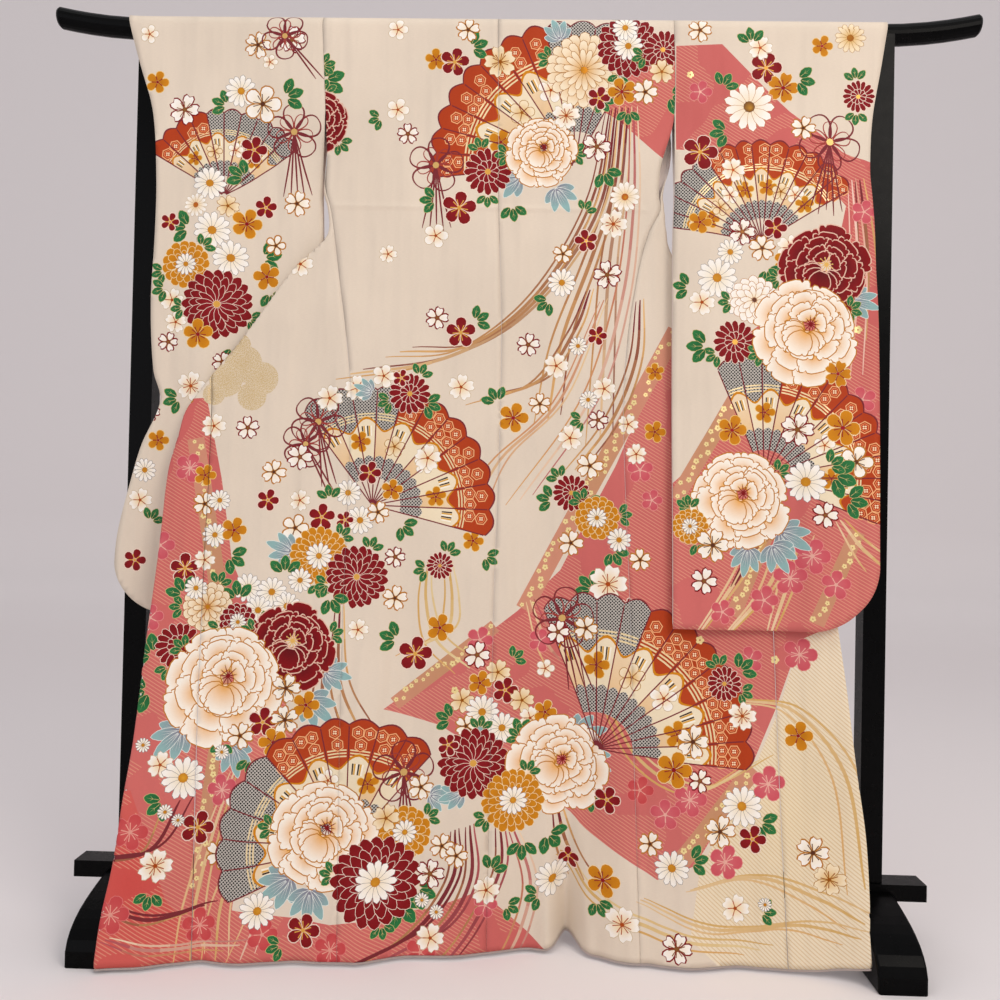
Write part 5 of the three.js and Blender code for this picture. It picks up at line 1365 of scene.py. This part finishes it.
for side, sleeve_print in (("left", left_sleeve_print), ("right", right_sleeve_print)):
    z_of = lambda v: np.where(
        v <= BAR_CENTRE, v, np.where(v >= BAR_CENTRE + OVER, FAR_TOP - v, BAR_CENTRE + 20))
    inner_of = lambda v: sleeve_edge(side, z_of(v), 1)
    outer_of = lambda v: np.where(
        v <= BAR_CENTRE + OVER / 2, *(sleeve_edge(side, z_of(v), k) for k in (2, 3)))
    flat_x = lambda a, v: lerp(inner_of(v), outer_of(v), a)
    surface = lambda x, v: sleeve_surface(side, (x - inner_of(v)) / (outer_of(v) - inner_of(v)), v)
    across = np.concatenate([np.linspace(0, 0.7, 25), 1 - 0.3 * (1 - np.linspace(0, 1, 30)[1:]) ** 1.6])
    low = sleeve_bottom(side, across)
    inner_rows, outer_rows = sleeve_rows(low[0]), sleeve_rows(low[-1])
    outline = joined((flat_x(across, low), low), (flat_x(1.0, outer_rows), outer_rows),
                     (flat_x(across, FAR_TOP - low)[::-1], (FAR_TOP - low)[::-1]),
                     (flat_x(0.0, inner_rows)[::-1], inner_rows[::-1]))
    inside = [(float(flat_x(a, v)), v) for v in inner_rows[1:-1]
              for a in np.linspace(0, 1, SLEEVE_COLUMNS)[1:-1]
              if float(z_of(v)) > float(sleeve_bottom(side, a)) + 4]
    build_cloth("sleeve_" + side, surface, outline, np.array(inside), sleeve_print.shapes,
                abs(signed_area(outline)) / 1e6)

# ------------------------------------------------------------------ the collar
# One long band of the same silk, folded in two along its length and sewn on as a double strip: up the left
# front edge, round the neck behind the bar, and down the right front edge.

COLLAR_END = 850
COLLAR_WIDTH = 55
COLLAR_THICK = 2.4
COLLAR_LIFT = 2.9
ROW_LENGTH = 16.0
COLUMNS = 9
sewn_x = lambda side, v: front_edge_x(side, v) - sign(side) * (front_width(v) + FOLDED_SEAM_GAP)
sewn_top, free_top = SHOULDER - 4, SHOULDER - 4 - COLLAR_WIDTH
neck_low, neck_high = float(sewn_x("left", sewn_top)), float(sewn_x("right", sewn_top))


def neck_row(from_x, from_v, to_x, to_v):
    """One row of the band round the neck, from its sewn edge to its free edge."""
    row = []
    for t in np.linspace(0, 1, COLUMNS):
        x, v = lerp(from_x, to_x, t), lerp(from_v, to_v, t)
        if v > BAR_CENTRE:
            row.append(over_bar(x, v, 1, COLLAR_LIFT))
        else:
            on_left = front_surface("left", x - front_edge_x("left", v), v)
            on_right = front_surface("right", front_edge_x("right", v) - x, v)
            part = ease((x - neck_low) / (neck_high - neck_low))
            row.append((x, lerp(on_left[1], on_right[1], part) + COLLAR_LIFT,
                        lerp(on_left[2], on_right[2], part)))
    return row


def band_row(side, v):
    """One row of the band down a front edge."""
    start = front_width(v) + FOLDED_SEAM_GAP + (okumi_width(v) + FOLDED_SEAM_GAP if v < OKUMI_TIP else 0)
    row = []
    for u in start + COLLAR_WIDTH * np.linspace(0, 1, COLUMNS):
        x, y, z = front_surface(side, u, v)
        row.append((x, y + COLLAR_LIFT * ease((v - 1420) / 100), z))
    return row


def corner_row(side, t):
    """One row where the band turns from a front edge to the neck, in which t goes from 0 to 1."""
    sewn_v = lerp(free_top, sewn_top, t)
    edge = (neck_low if side == "left" else neck_high) - sign(side) * (COLLAR_WIDTH + 10 * t)
    return neck_row(sewn_x(side, sewn_v), sewn_v, edge, lerp(free_top - 10, free_top, t))


heights = spaced(COLLAR_END + 27, free_top - 14, 16)
around = [band_row("left", v) for v in heights] + [corner_row("left", t) for t in np.linspace(0, 1, 7)]
free = COLLAR_WIDTH + 10
around += [neck_row(lerp(neck_low, neck_high, t), sewn_top,
                    lerp(neck_low + free, neck_high - free, t), free_top)
           for t in np.linspace(0, 1, 9)[1:-1]]
around += ([corner_row("right", t) for t in np.linspace(1, 0, 7)]
           + [band_row("right", v) for v in heights[::-1]])
band = np.array(around, float)


def collar_surface(along, across):
    """Between the rows of the band."""
    row = np.clip(along / ROW_LENGTH, 0, len(band) - 1.001)
    column = np.clip(across / COLLAR_WIDTH * (COLUMNS - 1), 0, COLUMNS - 1.001)
    i, j = row.astype(int), column.astype(int)
    s, t = (row - i)[:, None], (column - j)[:, None]
    p = lerp(lerp(band[i, j], band[i + 1, j], s), lerp(band[i, j + 1], band[i + 1, j + 1], s), t)
    return p[:, 0], p[:, 1], p[:, 2]


collar_print = Print()
length = ROW_LENGTH * (len(band) - 1)
for k in range(26):
    spot = (60 + k * (length - 120) / 25, random.uniform(12, 43))
    blossom, style = ((cherry, "pale"), (plum, "maroon"), (daisy, "white"))[k % 3]
    blossom(collar_print, spot, random.uniform(14, 20), style, 31 * k)
x_steps, v_steps = np.linspace(0, length, 3 * len(band)), np.linspace(0, COLLAR_WIDTH, COLUMNS)
outline = joined((x_steps, 0), (length, v_steps), (x_steps[::-1], COLLAR_WIDTH), (0, v_steps[::-1]))
inside = np.array([(a, b) for a in x_steps[1:-1] for b in v_steps[1:-1]])
build_cloth("collar", collar_surface, outline, inside, collar_print.shapes,
            None, COLLAR_THICK)

# ------------------------------------------------------------------ the hem edging
# The lining of plain pale silk is cut longer than the outside and turned out at the hem over a soft roll of
# padding, so that a narrow rounded edge of it shows all along.

ROLL_STEPS, ROLL_SIDES = 260, 10
ROLL_DEPTH, ROLL_HEIGHT, ROLL_DROP = 1.8, 1.7, 2.2
EDGING_SILK = silk("edging_silk", "f2dfd8")


def hem_end(side):
    """Where the swung-out front ends at the hem."""
    _, drawn, straight = row_shape(side, HEM)
    return float(front_edge_x(side, HEM) + sign(side) * (straight * drawn + 2))


ring_points = []
for x in np.linspace(hem_end("left"), hem_end("right"), ROLL_STEPS):
    z = raised(x, HEM)
    slope = (cloth_y(x + 2, raised(x + 2, HEM)) - cloth_y(x - 2, raised(x - 2, HEM))) / 4
    size = math.hypot(1, slope)
    for a in np.linspace(0, 2 * math.pi, ROLL_SIDES, endpoint=False):
        out = ROLL_DEPTH * math.cos(a) / size
        ring_points.append(((x - out * slope) / 1000, (cloth_y(x, z) + out + SHIFT_Y) / 1000,
                            (z - ROLL_DROP + ROLL_HEIGHT * math.sin(a)) / 1000))
faces = []
for ring in range(0, ROLL_SIDES * (ROLL_STEPS - 1), ROLL_SIDES):
    for k in range(ROLL_SIDES):
        after = (k + 1) % ROLL_SIDES
        faces.append((ring + k, ring + after, ring + ROLL_SIDES + after, ring + ROLL_SIDES + k))
faces += [tuple(range(ROLL_SIDES))[::-1],
          tuple(range(ROLL_SIDES * (ROLL_STEPS - 1), ROLL_SIDES * ROLL_STEPS))]
mesh = bpy.data.meshes.new("kimono_hem_edging")
mesh.from_pydata(ring_points, [], faces)
mesh.polygons.foreach_set("use_smooth", [True] * len(faces))
mesh.uv_layers.new(name="cloth")
mesh.materials.append(EDGING_SILK)
made = bpy.data.objects.new("kimono_hem_edging", mesh)
bpy.context.scene.collection.objects.link(made)
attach(made, "root")
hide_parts("hem_edging")

# ------------------------------------------------------------------ floor, light and camera
# A sheet of pale matt paper that sweeps up behind the stand, under three large soft lights.

SWEEP = [(-9, 0), (3.2, 0), (3.9, 0.03), (4.3, 0.12), (4.55, 0.3), (4.7, 0.7), (4.7, 9)]
floor_mesh = bpy.data.meshes.new("floor")
floor_mesh.from_pydata([(x, y, z) for y, z in SWEEP for x in (-12, 12)], [],
                       [(2 * k, 2 * k + 1, 2 * k + 3, 2 * k + 2) for k in range(len(SWEEP) - 1)])
floor_mesh.polygons.foreach_set("use_smooth", [True] * (len(SWEEP) - 1))
floor = bpy.data.objects.new("floor", floor_mesh)
bpy.context.scene.collection.objects.link(floor)
paper, tree, shader = new_material("pale_paper")
set_inputs(tree, shader, {"Base Color": "f0eaea", "Roughness": 0.9})
floor_mesh.materials.append(paper)


def area_light(name, place, target, size, power, colour):
    """A large soft light that faces a target."""
    data = bpy.data.lights.new(name, "AREA")
    data.shape, data.size, data.size_y = "RECTANGLE", size[0], size[1]
    data.energy, data.color = power, linear(colour)
    light = bpy.data.objects.new(name, data)
    light.location = place
    light.rotation_euler = (Vector(target) - Vector(place)).to_track_quat("-Z", "Y").to_euler()
    bpy.context.scene.collection.objects.link(light)


area_light("key", (1.9, -2.7, 2.7), (-0.1, 0, 0.8), (1.3, 1.5), 42, "fff6ec")
area_light("fill", (-2.3, -2.9, 1.5), (0, 0, 0.8), (2.2, 2.2), 12, "f6f6ff")
area_light("top", (0, -1.0, 3.6), (0, 0.3, 0.4), (3.0, 1.6), 17, "ffffff")
world = bpy.data.worlds.new("studio")
bpy.context.scene.world = world
world.use_nodes = True
set_inputs(world.node_tree, world.node_tree.nodes["Background"], {"Color": "eeecee", "Strength": 0.7})

# The camera looks level from the front, turned and tilted by about a degree.
CAMERA_PLACE = (0.03884, -1.79998 + SHIFT_Y / 1000, 0.7569)
YAW, PITCH, ROLL = 0.0256, 0.0143, 0.0211
camera_data = bpy.data.cameras.new("camera")
camera_data.sensor_width = 36
camera_data.lens = 35.69
camera_data.clip_start = 0.05
camera = bpy.data.objects.new("camera", camera_data)
forward = Vector((-math.sin(YAW) * math.cos(PITCH), math.cos(YAW) * math.cos(PITCH), math.sin(PITCH)))
flat_right = Vector((math.cos(YAW), math.sin(YAW), 0))
flat_up = flat_right.cross(forward)
right = math.cos(ROLL) * flat_right + math.sin(ROLL) * flat_up
up = -math.sin(ROLL) * flat_right + math.cos(ROLL) * flat_up
camera.matrix_world = Matrix([*zip(right, up, -forward, CAMERA_PLACE), (0, 0, 0, 1)])
bpy.context.scene.collection.objects.link(camera)
bpy.context.scene.camera = camera
bpy.context.scene.view_settings.view_transform = "Standard"
